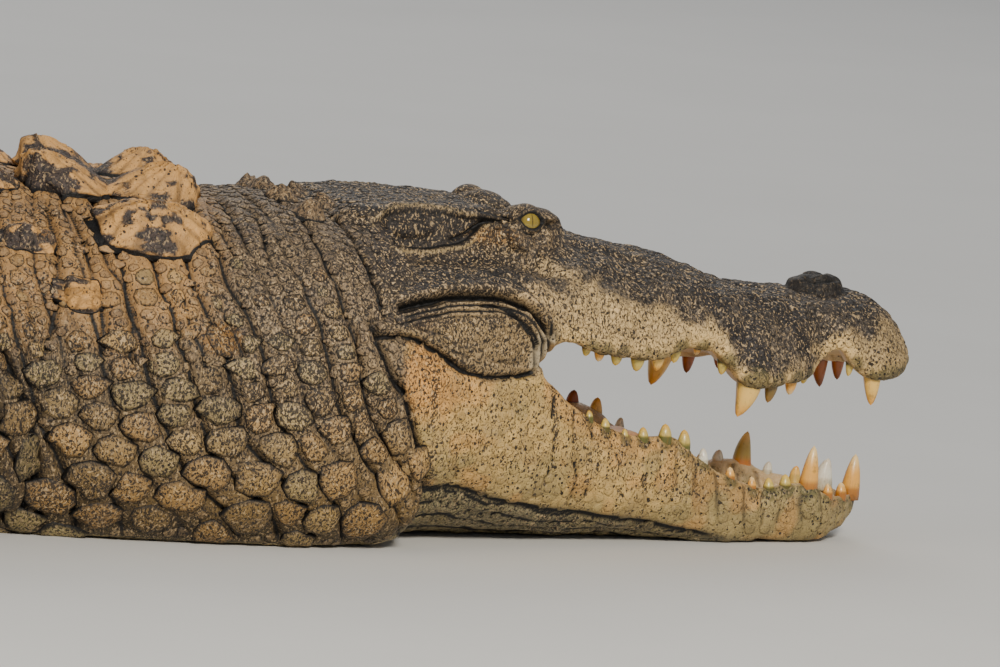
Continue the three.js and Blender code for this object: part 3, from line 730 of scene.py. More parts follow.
def neck_creases(points):
    """Depth and shade, both from 0 to 1, of the long slanting creases of the neck."""
    s, y, z = points.T
    run = crease_run(points)
    row = np.round(run)
    offset = (run - row) * CREASE_PITCH
    place = np.stack([row * 50, z * 0.5, y * 0.5], 1)
    strength = clamp(0.85 + 0.9 * cloud(place, 60, 5), 0, 1)
    valley = bell(offset, 3.4) * strength
    line = bell(offset, 1.5) * clamp(1.5 * strength)
    half_row = np.floor(run) + 0.5
    offset = (run - half_row) * CREASE_PITCH + 6 * cloud(points, 30, 6)
    place = np.stack([half_row * 50, z * 0.5, y * 0.5], 1)
    fine = clamp(0.4 + 1.5 * cloud(place, 50, 7)) * ramp(110, 160, z)
    valley = np.maximum(valley, 0.6 * bell(offset, 2.2) * fine)
    line = np.maximum(line, 0.9 * bell(offset, 1.2) * fine)
    where = ramp(0.06, 0.2, np.abs(y) / body_half_width(s)) * ramp(2, 12, z)
    where = where * ramp(540, 600, s) * ramp(0, -10, s - neck_edge(z))
    strap = strap_distance(points)
    valley = np.maximum(valley * where, 1.2 * bell(strap, 3.6))
    return valley, np.maximum(line * where, bell(strap, 1.9))


def shoulder_fold(points):
    """The deep fold in front of the shoulder, and the swell behind it."""
    s, y, z = points.T
    near = (s > 585) & (s < 715) & (np.abs(y) > 120) & (z < 215)
    distance, share = path_distance(points[near][:, [0, 2]], SHOULDER_FOLD)
    strength = ramp(0, 0.2, share) * ramp(1.0, 0.95, share)
    line, swell = np.zeros(len(points)), np.zeros(len(points))
    line[near] = bell(distance, 3.2) * strength
    swell[near] = bell(distance + 17, 15) * strength
    return line, swell


def head_relief(points, normals):
    """Relief of the head's sides: creases push in, pads and rims push out. Also the painted shade of its
    creases.
    """
    s, y, z = points.T
    push = np.zeros(len(points))
    dark = np.zeros(len(points))
    near = (s > 890) & (s < 1120) & (np.abs(y) > 48)
    flat = points[near][:, [0, 2]]
    side = (np.abs(y)[near] > 60) * (np.abs(normals[near, 1]) > 0.1)

    def groove(path, depth, width, shade=0.8, taper=0.12):
        distance, share = path_distance(flat, path)
        strength = ramp(0, taper, share) * ramp(1, 1 - taper, share)
        line = bell(distance, width) * strength * side
        push[near] -= depth * line
        dark[near] = np.maximum(dark[near], shade * line)
        return distance, strength

    distance, strength = groove(CHEEK_FOLD, 10, 2.8, 1.0, 0.05)
    ridge = bell(distance + 8, 4.5) + 1.8 * bell(distance - 6.5, 4.5)
    push[near] += 3.0 * ridge * strength * side
    wrinkle = 0.5 - 0.5 * np.cos(2 * np.pi * distance / 4.4)
    under = ramp(-3, -5, distance) * ramp(-20, -15, distance) * strength * side
    push[near] += 2.4 * wrinkle * under
    dark[near] = np.maximum(dark[near], 0.95 * (1 - wrinkle) ** 1.5 * under)
    groove(CHEEK_INNER, 4.5, 2.0, 1.0)
    distance, strength = groove(CHEEK_OUTER, 3.2, 1.9, 0.8)
    push[near] += 2.2 * bell(distance + 6, 3.6) * strength * side
    distance, strength = groove(PAD_LOWER, 5, 2.4, 1.0, 0.06)
    push[near] += 3.0 * bell(distance - 7, 5) * strength * side
    for path in PAD_CREASES:
        groove(path, 1.6, 1.5, 0.6)
    distance, strength = groove(NECK_EDGE, 8, 4.0, 0.9, 0.08)
    push[near] += 5 * bell(distance + 11, 8) * strength * side
    groove(NAPE_FOLD, 7, 3.2, 0.9, 0.1)

    # The ear flap: a sunk lens with a beaded rim below and a brow above.
    lower, lower_share = path_distance(flat, EAR_LOWER)
    upper, _ = path_distance(flat, EAR_UPPER)
    high = side * (flat[:, 1] > 240)
    inside = ramp(1, -3, upper) * ramp(-1, 3, lower) * high
    inside = inside * band(flat[:, 0], 934, 944, 1052, 1062)
    push[near] -= 3.6 * inside
    dark[near] = np.maximum(dark[near], 0.22 * inside)
    lens = np.hypot((flat[:, 0] - 976) / 26, (flat[:, 1] - 277) / 8.5)
    push[near] += 3.2 * ramp(1.05, 0.5, lens) * side
    rim = bell(lower + 3.2, 2.2) * ramp(0, 0.06, lower_share) * high
    beads = 0.75 + 0.25 * np.cos(2 * np.pi * lower_share * EAR_BEADS)
    push[near] += 3.4 * rim * beads
    second = bell(lower + 9, 2.0) * ramp(0.3, 0.45, lower_share) * high
    push[near] += 1.8 * second * beads
    groove(EAR_UPPER, 2.6, 1.8, 0.55, 0.04)
    groove(EAR_LOWER, 3.0, 1.6, 0.9, 0.04)
    groove(EAR_SLIT, 5.5, 1.4, 1.0, 0.2)
    brow = bell(upper - 4, 3.0) * high * ramp(936, 950, flat[:, 0])
    push[near] += 2.0 * brow * (0.8 + 0.2 * np.cos(2 * np.pi * flat[:, 0] / 5.5))

    # The pale fan of ribs at the corner of the mouth.
    fan_s, fan_z = flat[:, 0] - 1060, flat[:, 1] - 226
    angle = np.arctan2(fan_z, fan_s)
    reach = np.hypot(fan_s, fan_z)
    fan = band(flat[:, 0], 1066, 1080, 1094, 1106)
    fan = fan * ramp(160, 168, flat[:, 1]) * ramp(204, 192, flat[:, 1]) * side
    ribs = 0.5 - 0.5 * np.cos(angle * 34 + 1.5 * np.sin(reach / 9))
    push[near] += 3.4 * fan * ribs - 2.4 * fan
    dark[near] = np.maximum(dark[near], 0.8 * fan * (1 - ribs))
    return push, dark


def mouth_inside(points, normals):
    """1 on the palate and the floor of the mouth, 0 outside."""
    s, y, z = points.T
    across, up = np.abs(y) / jaw_half_width(s), normals[:, 2]
    palate = ramp(-0.25, -0.6, up) * ramp(0.93, 0.86, across)
    palate = palate * (z > upper_lip(s) - 6) * (z < upper_lip(s) + 22) * (s > 1088)
    ground = ramp(0.3, 0.6, up) * ramp(0.97, 0.88, np.abs(y) / lower_jaw_half_width(s))
    ground = ground * (z < lower_lip(s) + 3) * (s > 1086)
    corner = (s > 1080) * (s < 1130) * (z > 150) * (z < 192) * ramp(0.96, 0.9, across)
    return clamp(np.maximum(np.maximum(palate, ground), corner))


# Rows of (station, length, radius, lean back); a missing lean is 0.
UPPER_TEETH = [(1502, 9, 5), (1489, 13, 6), (1477, 20, 6.5), (1461, 28, 8.5, -2), (1436, 12, 4),
               (1387, 8, 4.5), (1369, 14, 6), (1344, 18, 6.5, 2), (1319, 30, 12, 9), (1291, 12, 5.5),
               (1264, 7, 4.5), (1240, 14, 6), (1221, 13, 6.5), (1198, 13, 7), (1173, 10, 6),
               (1153, 9, 5.5), (1138, 8, 5)]
LOWER_TEETH = [(1463, 34, 9, -3), (1444, 9, 5.5), (1423, 9, 5), (1399, 37, 9, -3), (1375, 10, 6),
               (1358, 9, 5.5), (1339, 9, 4.5), (1313, 9, 5), (1281, 11, 5), (1258, 14, 6.5),
               (1236, 12, 6.5), (1211, 9, 5.5), (1190, 7, 4), (1167, 8, 5), (1148, 6, 4)]


def snout_relief(points, normals):
    """Swells over the teeth, the ridges before the eyes, and the nostrils on their round boss, with painted
    shade in the nostrils' slits, folds and moat.
    """
    s, y, z = points.T
    push = np.zeros(len(points))
    dark = np.zeros(len(points))
    outer = clamp(np.abs(y) / jaw_half_width(s)) > 0.7
    for station, length, radius, *_ in UPPER_TEETH:
        swell = bell(s - station, radius + 5)
        swell = swell * bell(z - upper_lip(station) - 8, 9 + 0.4 * length) * outer
        push += (2.2 + 0.09 * length) * swell
    for station, length, radius, *_ in LOWER_TEETH:
        swell = bell(s - station, radius + 4)
        swell = swell * bell(z - lower_lip(station) + 7, 8 + 0.3 * length)
        amount = (1.0 + 0.05 * length) * mix(1, 0.25, ramp(1420, 1445, station))
        push += amount * swell * (np.abs(y) > 0.7 * lower_jaw_half_width(s))
    on_snout = ramp(1090, 1130, s) * ramp(0, 30, z - upper_lip(s))
    for side in (1, -1):
        ridge_y = side * (34 + 0.12 * (1300 - s))
        ridge = bell(y - ridge_y, 11) * ramp(0.2, 0.7, normals[:, 2])
        push += 3.5 * ridge * ramp(1105, 1150, s) * ramp(1330, 1240, s)
        arc = (s - 1420) / 16
        nostril_y = side * (13 + 5 * (1 - arc ** 2))
        slit = bell(y - nostril_y, 2.6) * ramp(1.1, 0.7, np.abs(arc)) * (z > 228)
        push -= 7 * slit
        dark = np.maximum(dark, slit)
        fold = bell(np.abs(np.hypot((s - 1423) / 1.15, y - side * 15) - 11.5), 2.2)
        push -= 2.2 * fold * (z > 226)
        dark = np.maximum(dark, 0.5 * fold * (z > 226))
    moat = np.hypot((s - NOSTRIL_BOSS["s"]) / 28, y / 26)
    ring = bell(moat - 1.06, 0.10) * (z > 205) * (s > 1360)
    push -= 1.6 * ring
    dark = np.maximum(dark, 0.35 * ring)
    rough = 2.4 * cloud(points, 15, 21) + 1.3 * cloud(points, 7, 22) + 3.4 * cloud(points, 30, 23)
    push += rough * on_snout * mix(0.5, 1.0, ramp(0.1, 0.7, normals[:, 2]))
    return push, dark


def skull_relief(points, normals):
    s, y, _ = points.T
    table = ramp(928, 950, s) * ramp(1120, 1080, s) * ramp(0.2, 0.7, normals[:, 2])
    rough = 1.5 * cloud(points, 12, 31) + 1.0 * cloud(points, 6, 32)
    push = rough * table
    middle = bell(y, 16) * ramp(1010, 1060, s) * ramp(1128, 1090, s)
    push -= 3.0 * middle
    cheek = ramp(925, 950, s) * ramp(1140, 1080, s) * (1 - table)
    push += 0.7 * cloud(points, 9, 33) * cheek
    return push


def jaw_relief(points, normals):
    """The lower jaw's edge crease, throat strips, long cracks and the ribs between its teeth, with painted
    shade in the crease, troughs and cracks.
    """
    s, y, z = points.T
    lip = lower_lip(s)
    on_jaw = ramp(930, 960, s) * (z < np.where(s < MOUTH_CORNER, CHEEK_CUT, lip + 4))
    edge = z - jaw_bottom(s) - 3
    crease = bell(edge, 2.6) * ramp(960, 990, s) * ramp(1330, 1280, s)
    crease = crease * (normals[:, 2] < 0.3) * (z > 2)
    push = -3.2 * crease

    throat = ramp(2, -4, edge) * ramp(945, 965, s) * ramp(1420, 1330, s) * (z > 1.5)
    strip = clamp(z / (jaw_bottom(s) + 6))
    wave = np.abs(np.sin(np.pi * (4.5 * strip + 0.5 * cloud(points, 30, 41))))
    cross = np.abs(np.sin((s + 0.5 * z + 7 * cloud(points, 24, 40)) / 5.5))
    wave = wave * (0.5 + 0.5 * np.sqrt(cross))
    push += (1.9 * np.sqrt(wave) - 1.2) * throat
    dark = np.maximum(0.9 * crease, throat * ramp(0.5, 0.1, wave))
    rough = 1.0 * cloud(points, 12, 42) + 2.0 * cloud(points, 36, 43) * ramp(1460, 1420, s)
    push += rough * on_jaw

    crack_s = s + 0.10 * (z - 80) + 5 * cloud(points, 16, 45)
    for at in (1004, 1108, 1134, 1152, 1184, 1215):
        crack = bell(crack_s - at, 1.6) * ramp(-0.25, 0.35, cloud(points, 17, 46 + at))
        crack = crack * on_jaw * ramp(2, 14, edge) * (normals[:, 2] < 0.5)
        push -= 2.4 * crack
        dark = np.maximum(dark, crack)

    stations = np.array([row[0] for row in LOWER_TEETH[::-1]], float)
    column = np.interp(s + 0.15 * (z - lip), stations, np.arange(len(stations)))
    bulge = np.cos(2 * np.pi * (column + 0.12 * cloud(points, 18, 44)))
    ribbed = band(s, 1180, 1270, 1415, 1440) * ramp(58, 26, lip - z) * on_jaw
    ribbed = ribbed * (normals[:, 2] < 0.6)
    push += 1.2 * bulge * ribbed * (1 + 0.8 * cloud(points, 25, 48))
    return push * (z > 1), np.maximum(dark, 0.55 * ramp(-0.8, -0.98, bulge) * ribbed)


def eyelids(points):
    """Moves the skin round each eye to lids that hold the ball, and sinks it behind the opening."""
    share, radius, way, centre, height = eye_share(points)
    ball_radius = EYE["radius"]
    lid = np.interp(share, [0, 0.96, 1.08, 1.3, 1.55, 1.75, 2.1],
                    ball_radius + np.array([-4, -3, 1.7, 3.0, 2.3, 1.5, 3.0]))
    lid = lid + np.where(height > 0, 1.0, 0) * ramp(1.0, 1.25, share)
    hold = ramp(2.35, 1.75, share) * (radius < 42)
    new_radius = mix(radius, lid, hold)
    over = (share > 1.15) & (radius > 8) & (points[:, 2] > 262)
    new_radius = np.where(over, np.maximum(new_radius, ball_radius + 2.4), new_radius)
    mirrored = np.stack([np.ones(len(points)), np.sign(points[:, 1]), np.ones(len(points))], 1)
    moved = (centre + way * new_radius[:, None]) * mirrored
    close = ((hold > 0) | over) & (np.abs(points[:, 0] - centre[0]) < 50) & (points[:, 2] > 230)
    dark = ramp(1.45, 1.1, share) + 0.8 * bell(share - 1.75, 0.12)
    return np.where(close[:, None], moved, points), clamp(np.where(close, dark, 0))


def body_relief(points, normals):
    """Soft unevenness, the flanks' folds and the creases of the neck and shoulder, with painted shade in
    the folds and creases.
    """
    s, _, z = points.T
    behind = ramp(930, 900, s)
    push = behind * (2.4 * cloud(points, 60, 51) + 1.0 * cloud(points, 22, 52))
    flank = ramp(0.8, 0.4, np.abs(normals[:, 2]))
    flank = flank * ramp(520, 440, s) * ramp(-420, -350, s)
    fold = np.abs(np.sin((s + 14 * cloud(points, 90, 53) + 0.25 * z) / 21))
    push += flank * (3.0 * np.sqrt(fold) - 2.2)
    dark = 0.6 * flank * ramp(0.3, 0.05, fold)
    valleys, creases = neck_creases(points)
    line, swell = shoulder_fold(points)
    push += 7.0 * swell - 9.0 * line - 6.0 * valleys
    return push * ramp(2, 12, z), np.maximum(dark, np.maximum(creases, line))


def make_skin():
    """The remeshed form with all its relief and the painted shade of its creases."""
    mesh = remeshed(*rough_form())
    corners = read(mesh.loops, "vertex_index", 4, np.int32)
    s, y, z = straight_points(mesh)[corners].mean(1).T
    fine = (s > 925) & (s < 1122) & (np.abs(y) > 38) & (z > 152)
    fine |= (s > 600) & (s <= 990) & (np.abs(y) > 60) & (z > 4)
    refine(mesh, np.nonzero(fine)[0])
    surface = Surface(mesh)
    surface.relax(5)
    surface.update()
    surface.push(np.full(len(surface.points), 0.6 - COAT_DEPTH))
    dark = np.zeros(len(surface.points))
    for relief in (snout_relief, jaw_relief, body_relief, head_relief):
        push, shade = relief(surface.points, surface.normals)
        dark = np.maximum(dark, shade)
        surface.push(push)
    surface.push(skull_relief(surface.points, surface.normals))
    surface.points, shade = eyelids(surface.points)
    surface.dark = np.maximum(dark, shade)
    surface.relax(1, 0.3)
    surface.update()
    return surface


# ---------------------------------------------------------------- colours

def rgb(red, green, blue):
    value = np.array([red, green, blue]) / 255
    return np.where(value < 0.04045, value / 12.92, ((value + 0.055) / 1.055) ** 2.4)


SLATE = rgb(114, 100, 84)
BLUE_GREY = rgb(78, 76, 77)
TAN = rgb(214, 180, 124)
CREAM = rgb(232, 194, 128)
JAW_TAN = rgb(216, 178, 108)
JAW_ORANGE = rgb(228, 166, 90)
JAW_GREY = rgb(180, 156, 102)
GULAR = rgb(164, 150, 110)
NECK_BROWN = rgb(140, 118, 90)
NECK_TAN = rgb(172, 142, 98)
OLIVE = rgb(146, 116, 66)
BELLY = rgb(214, 192, 134)
SAND = rgb(222, 166, 96)
OCHRE = rgb(176, 122, 44)
DARK_SLATE = rgb(58, 54, 58)
MOSS = rgb(70, 70, 36)
LINING = rgb(206, 176, 132)
# Brown of the shadow painted along the foot of the neck.
NECK_FOOT_SHADE = rgb(84, 68, 40)
# Height of the tan side of the upper jaw above the lip.
tan_line = profile((940, 12), (1040, 26), (1100, 62), (1160, 58), (1211, 48), (1263, 30),
                   (1317, 14), (1368, 10), (1416, 20), (1455, 46), (1490, 60), (1513, 60))


def layered(tone, *layers):
    """The tone with each layer, a colour and its share, blended over it in turn."""
    for colour, share in layers:
        share = clamp(np.broadcast_to(share, len(tone)))
        tone = tone + (colour - tone) * share[:, None]
    return tone


def dimmed(tone, *shares):
    """The tone made darker by each share in turn."""
    for share in shares:
        tone = tone * (1 - share)[:, None]
    return tone


def body_looks(points, normals, big, small):
    """Tones and speckle of the neck, trunk, legs and tail."""
    s, y, z = points.T
    up = normals[:, 2]
    on_neck = ramp(520, 560, s) * (s < 990)
    knob = np.sqrt((s - KNOB[0]) ** 2 + (np.abs(y) - KNOB[1]) ** 2 + (z - KNOB[2]) ** 2)
    sandy = ramp(825, 775, s + 0.25 * (300 - z)) * ramp(560, 620, s) * ramp(150, 215, z + 20 * big)
    sandy = np.maximum(sandy, 0.45 * ramp(0.35, 0.75, up) * ramp(600, 520, s) * ramp(-0.2, 0.4, big))
    bars = ramp(0.1, 0.6, np.sin(s / 38 + 0.6 * big)) * ramp(-380, -700, s)
    under = ramp(-0.3, -0.75, up) * ramp(30, 8, z)
    tone = layered(np.tile(NECK_BROWN, (len(points), 1)),
                   (NECK_TAN, ramp(220, 80, z + 25 * big)),
                   (OLIVE, ramp(120, 20, z + 15 * big) * (s > -600)))
    # Darker in turn: the neck's upward faces; faces turned down near the floor, painted shade; the back of
    # the neck by the shoulder, painted shade; and the upper neck.
    tone = dimmed(tone,
                  0.22 * ramp(0.45, 0.9, up) * ramp(540, 640, s),
                  0.25 * ramp(45, 10, z) * ramp(0.2, -0.2, up),
                  0.62 * ramp(850, 600, s) * ramp(500, 560, s),
                  0.16 * ramp(150, 230, z) * ramp(560, 640, s))
    tone = layered(tone,
                   # painted shadow: darker brown along the bottom of the neck
                   (NECK_FOOT_SHADE, 0.85 * ramp(40, 8, z) * on_neck),
                   (OCHRE * 0.5, 0.85 * ramp(19, 11, knob)),
                   (SAND * 0.72, 0.72 * sandy),
                   (DARK_SLATE, 0.7 * bars * ramp(0.1, 0.35, z / body_top(s))),
                   (BELLY, under * (1 - 0.9 * on_neck * ramp(-0.97, -0.8, up))))
    speckle = 0.66 + 0.16 * big - 0.12 * ramp(200, 60, z)
    speckle = speckle * (1 - 0.5 * sandy) + 0.3 * sandy * ramp(0.1, 0.5, small)
    return tone, speckle * (1 - 0.8 * under * (1 - on_neck))


def ear_shares(points):
    """Shares of the pale beaded rim and of the dark hollow of the ear flap."""
    s, y, z = points.T
    rim, hollow = np.zeros(len(points)), np.zeros(len(points))
    near = (s > 930) & (s < 1070) & (np.abs(y) > 60) & (z > 245) & (z < 302)
    flat = points[near][:, [0, 2]]
    lower, share = path_distance(flat, EAR_LOWER)
    upper, _ = path_distance(flat, EAR_UPPER)
    rim[near] = bell(lower + 3.4, 2.0) * ramp(0, 0.06, share)
    beads = 0.5 + 0.5 * np.cos(2 * np.pi * share * EAR_BEADS)
    rim[near] = rim[near] * (0.35 + 0.65 * beads)
    rim[near] = np.maximum(rim[near], 0.5 * bell(upper - 4, 2.0) * (flat[:, 0] < 1045))
    hollow[near] = ramp(1, -2, upper) * ramp(-1, 2, lower)
    return rim, hollow


def upper_looks(points, normals, big, small):
    """Tones and speckle of the skull and the upper jaw."""
    s, y, z = points.T
    above = z - np.where(s > MOUTH_CORNER, upper_lip(s), 190)
    cheek, front = ramp(1125, 1060, s), ramp(1080, 1140, s)
    top = ramp(0.45, 0.85, normals[:, 2])
    darker = ramp(-8, 14, above - tan_line(s) - 15 * big - 12 * small - 6 * cloud(points, 9, 59))
    streak = ramp(0.3, 0.85, np.sin((s + 0.9 * z + 16 * big) / 11) + 0.8 * small)
    streak = streak * ramp(1215, 1260, s) * ramp(1445, 1405, s) * ramp(4, 16, above)
    streak = streak * (0.25 + 0.75 * darker)
    boss = ramp(1.25, 1.0, np.hypot((s - NOSTRIL_BOSS["s"]) / 29, y / 27)) * (z > 222)
    tone = layered(np.tile(TAN, (len(points), 1)),
                   (CREAM, ramp(26, 4, above) * ramp(1085, 1110, s)),
                   (NECK_TAN * 0.9, 0.8 * cheek),
                   (SAND, 0.5 * ramp(18, 6, np.hypot(s - 952, z - 212))),
                   (SLATE, darker * mix(0.7, 1.0, front)),
                   (BLUE_GREY, 0.85 * top * ramp(-0.9, 0.1, small + 0.5 * big)),
                   (DARK_SLATE * 0.7, 0.9 * streak),
                   (rgb(24, 18, 14), 0.95 * boss * ramp(-1.1, -0.4, small)))
    lighter = 0.85 * cheek * (1 - top) * ramp(205, 235, z) * ramp(270, 245, z)
    # The last share darkens the cheek below its fold: painted shade.
    tone = dimmed(tone, 0.32 * ramp(1400, 1470, s), 0.20 * darker + 0.28 * top, -lighter,
                  0.16 * ramp(226, 214, z) * ramp(1090, 1075, s))
    rim, hollow = ear_shares(points)
    lids = ramp(34, 22, np.hypot(s - EYE["s"], z - EYE["z"])) * (np.abs(y) > 40)
    before_eye = ramp(1.2, 0.6, np.hypot((s - 1060) / 26, (z - 272) / 9)) * (np.abs(y) > 50)
    fan = band(s, 1066, 1076, 1094, 1104) * ramp(160, 168, z) * ramp(204, 192, z)
    folds = band(z, 208, 216, 226, 234) * ramp(955, 975, s) * ramp(1078, 1066, s)
    tone = layered(tone,
                   (DARK_SLATE * 0.7, 0.7 * hollow),
                   (rgb(192, 164, 112), 0.9 * rim),
                   (rgb(120, 96, 62), 0.7 * lids),
                   (SAND * 0.8, 0.6 * before_eye),
                   (rgb(214, 196, 162), 0.75 * fan * (np.abs(y) > 60)),
                   (rgb(190, 160, 116), 0.6 * folds))
    speckle = 0.58 + 0.30 * darker - 0.20 * ramp(24, 4, above) * front + 0.14 * big + 0.14 * cheek
    bare = (1 - 0.8 * boss) * (1 - 0.7 * fan) * (1 - 0.4 * folds) * (1 - 0.8 * rim)
    return tone, speckle * bare


def jaw_looks(points, big, small):
    """Tones and speckle of the lower jaw and the throat."""
    s, _, z = points.T
    edge = z - jaw_bottom(s)
    front = ramp(1225, 1330, s)
    orange = ramp(1040, 960, s) * ramp(105, 150, z + 12 * big)
    gum_band = ramp(30, 6, lower_lip(s) - z) * (s > 1090) * ramp(1330, 1250, s)
    throat = ramp(6, -2, edge - 3) * ramp(1400, 1330, s)
    tone = layered(np.tile(JAW_TAN, (len(points), 1)),
                   (JAW_ORANGE, np.maximum(orange, 0.6 * gum_band)),
                   (JAW_GREY, front),
                   (JAW_GREY, 0.7 * ramp(40, 0, edge)),
                   (GULAR, throat),
                   (JAW_GREY * [0.86, 0.9, 0.9], 0.55 * ramp(0.1, 0.5, cloud(points, 26, 68))),
                   (JAW_ORANGE, 0.45 * ramp(0.1, 0.5, cloud(points, 20, 69)) * (1 - throat)))
    speckle = 0.50 + 0.20 * big - 0.25 * ramp(45, 10, edge) - 0.12 * ramp(1240, 1330, s)
    lean = s + 0.12 * (z - 60) + 4 * small
    stripe = sum(bell(lean - at, 3.2) for at in (978, 1112, 1135, 1150, 1186, 1216))
    speckle = speckle + 0.5 * stripe * ramp(-0.3, 0.3, cloud(points, 12, 63)) + 0.25 * throat
    return dimmed(tone, 0.10 + 0.08 * front + 0.18 * throat), speckle


def gum_stain(points):
    """1 on the dark green collars of skin round the feet of the teeth."""
    s, _, z = points.T
    stain = np.zeros(len(points))
    for rows, lip in ((UPPER_TEETH, upper_lip), (LOWER_TEETH, lower_lip)):
        for station, _, radius, *_ in rows:
            away = np.hypot(s - station, 0.8 * (z - lip(station)))
            stain = np.maximum(stain, ramp(radius + 5, radius + 1, away))
    return stain * (s > 1120)


def hide_looks(points, normals, dark):
    """Base colour of the hide and its marks: speckle share, painted crease shade and wetness."""
    s, _, z = points.T
    big, small = cloud(points, 45, 61), cloud(points, 14, 62)
    pad_edge = pad_lower_line(s) - 2 + 3 * cloud(points, 12, 60)
    low = np.where(s > MOUTH_CORNER, upper_lip(s) - 3, pad_edge)
    upper = ramp(885, 940, s + 10 * cloud(points, 30, 66)) * ramp(-4, 3, z - low)
    jaw = ramp(930, 940, s) * (1 - upper) * ramp(0, 6, s - neck_edge(z))
    tone, speckle = body_looks(points, normals, big, small)
    for share, looks in ((upper, upper_looks(points, normals, big, small)),
                         (jaw, jaw_looks(points, big, small))):
        tone = mix(tone, looks[0], share[:, None])
        speckle = mix(speckle, looks[1], share)
    inside = mouth_inside(points, normals)
    stain = 0.75 * gum_stain(points) * ramp(-0.9, -0.2, cloud(points, 7, 67))
    tone = layered(tone, (MOSS, stain), (LINING, inside))
    tone = tone * (1 + 0.12 * cloud(points, 30, 64) + 0.10 * cloud(points, 8, 65))[:, None]
    return clamp(tone), np.stack([clamp(speckle * (1 - inside)), clamp(dark), inside], 1)


# ---------------------------------------------------------------- materials

class Graph:
    """Short words for the nodes of one material."""

    def __init__(self, name):
        self.material = bpy.data.materials.new(name)
        self.material.use_nodes = True
        self.nodes = self.material.node_tree.nodes
        self.shader = self.nodes["Principled BSDF"]
        self.place = self.add("TexCoord").outputs["Object"]

    def feed(self, socket, value):
        """Links a socket to another node's output, or sets it to a number, tuple or colour."""
        if isinstance(value, bpy.types.NodeSocket):
            self.material.node_tree.links.new(value, socket)
        elif isinstance(value, np.ndarray):
            socket.default_value = (*value.tolist(), 1.0)
        else:
            socket.default_value = value

    def add(self, kind, inputs=(), **settings):
        node = self.nodes.new("ShaderNode" + kind)
        for name, value in settings.items():
            setattr(node, name, value)
        for key, value in dict(inputs).items():
            self.feed(node.inputs[key], value)
        return node

    def set(self, **values):
        for name, value in values.items():
            self.feed(self.shader.inputs[name.replace("_", " ")], value)

    def attribute(self, name):
        return self.add("Attribute", attribute_name=name).outputs["Color"]

    def channels(self, colour):
        return self.add("SeparateColor", {0: colour}).outputs[:3]

    def stretched(self, scale, place=None):
        factors = {0: place or self.place, 1: scale}
        return self.add("VectorMath", factors, operation="MULTIPLY").outputs[0]

    def noise(self, scale, detail=2.0, roughness=0.5, place=None, distortion=0.0, output="Fac"):
        inputs = {"Vector": place or self.place, "Scale": scale, "Detail": detail,
                  "Roughness": roughness, "Distortion": distortion}
        return self.add("TexNoise", inputs).outputs[output]

    def wandering(self, scale, distance):
        """The place, moved a little by noise."""
        terms = {0: self.noise(scale, output="Color"), 1: (distance,) * 3, 2: self.place}
        return self.add("VectorMath", terms, operation="MULTIPLY_ADD").outputs[0]

    def voronoi(self, scale, feature, place):
        return self.add("TexVoronoi", {"Vector": place, "Scale": scale}, feature=feature).outputs

    def math(self, operation, a, b, limited=False):
        return self.add("Math", {0: a, 1: b}, operation=operation, use_clamp=limited).outputs[0]

    def plus(self, a, b):
        return self.math("ADD", a, b)

    def minus(self, a, b):
        return self.math("SUBTRACT", a, b)

    def times(self, a, b):
        return self.math("MULTIPLY", a, b)

    def step(self, value, low, high):
        inputs = {"Value": value, "From Min": low, "From Max": high}
        return self.add("MapRange", inputs, interpolation_type="SMOOTHSTEP").outputs["Result"]

    def layered(self, colour, *layers):
        """The colour with each layer, a share and a colour, mixed over it in turn."""
        for share, over in layers:
            colour = self.add("Mix", {0: share, 6: colour, 7: over}, data_type="RGBA").outputs[2]
        return colour

    def bump(self, height, distance, strength):
        inputs = {"Strength": strength, "Distance": distance, "Height": height}
        self.set(Normal=self.add("Bump", inputs).outputs[0])


def hide_material():
    """The hide's speckle: short black strokes, round dots and pale flecks over the base tone, and the
    painted shade of creases and scale edges.
    """
    g = Graph("crocodile_hide")
    speckle, dark, wet = g.channels(g.attribute("marks"))
    dry = g.minus(1.0, wet)
    strokes = g.noise(1.0, 2.5, 0.62, g.stretched((540, 540, 330), g.wandering(55, 0.012)), 0.3)
    low = g.minus(0.66, g.times(speckle, 0.25))
    fleck = g.step(strokes, low, g.plus(low, 0.045))
    dots = g.voronoi(245, "F1", g.wandering(160, 0.002))
    chance, size, _ = g.channels(dots["Color"])
    chosen = g.math("LESS_THAN", chance, g.plus(0.02, g.times(speckle, 0.9)))
    reach = g.plus(0.16, g.times(size, 0.26))
    dot = g.times(g.math("LESS_THAN", dots["Distance"], reach), chosen)
    marks = g.times(g.math("MAXIMUM", g.times(fleck, 0.90), g.times(dot, 0.95)), dry)
    pale = g.noise(1.0, 2.5, 0.6, g.stretched((430, 430, 260), g.wandering(70, 0.01)))
    pale = g.times(g.times(g.step(pale, 0.56, 0.62), g.times(speckle, 0.85)), dry)
    mottle = g.step(g.noise(30, 4.0, 0.65), 0.42, 0.68)
    dark = g.math("MULTIPLY", dark, 1.25, limited=True)
    deep = g.step(dark, 0.62, 0.95)
    rough = g.plus(0.50, g.times(strokes, 0.22))
    g.set(Base_Color=g.layered(g.attribute("tone"),
                               (marks, rgb(26, 20, 17)),
                               (pale, rgb(212, 180, 134)),
                               (g.times(mottle, 0.22), rgb(84, 74, 66)),
                               # Painted shade: the marks' second channel darkens creases, grooves and scale
                               # edges.
                               (g.times(dark, 0.96), rgb(18, 14, 12)),
                               (g.times(deep, 0.9), rgb(8, 6, 5))),
          Roughness=g.minus(rough, g.times(wet, 0.25)), Specular_IOR_Level=0.45)
    cracks = g.voronoi(150, "DISTANCE_TO_EDGE", g.wandering(90, 0.004))
    crack = g.step(cracks["Distance"], 0.0, 0.10)
    height = g.plus(g.times(strokes, 0.8), g.times(g.noise(900), 0.2))
    height = g.plus(height, g.times(crack, 0.3))
    g.bump(g.minus(height, g.times(dot, 0.35)), 0.0013, 0.8)
    return g.material


hide = hide_material()

# ---------------------------------------------------------------- the skin piece

skin = make_skin()
tones, marks = hide_looks(skin.points, skin.normals, skin.dark)
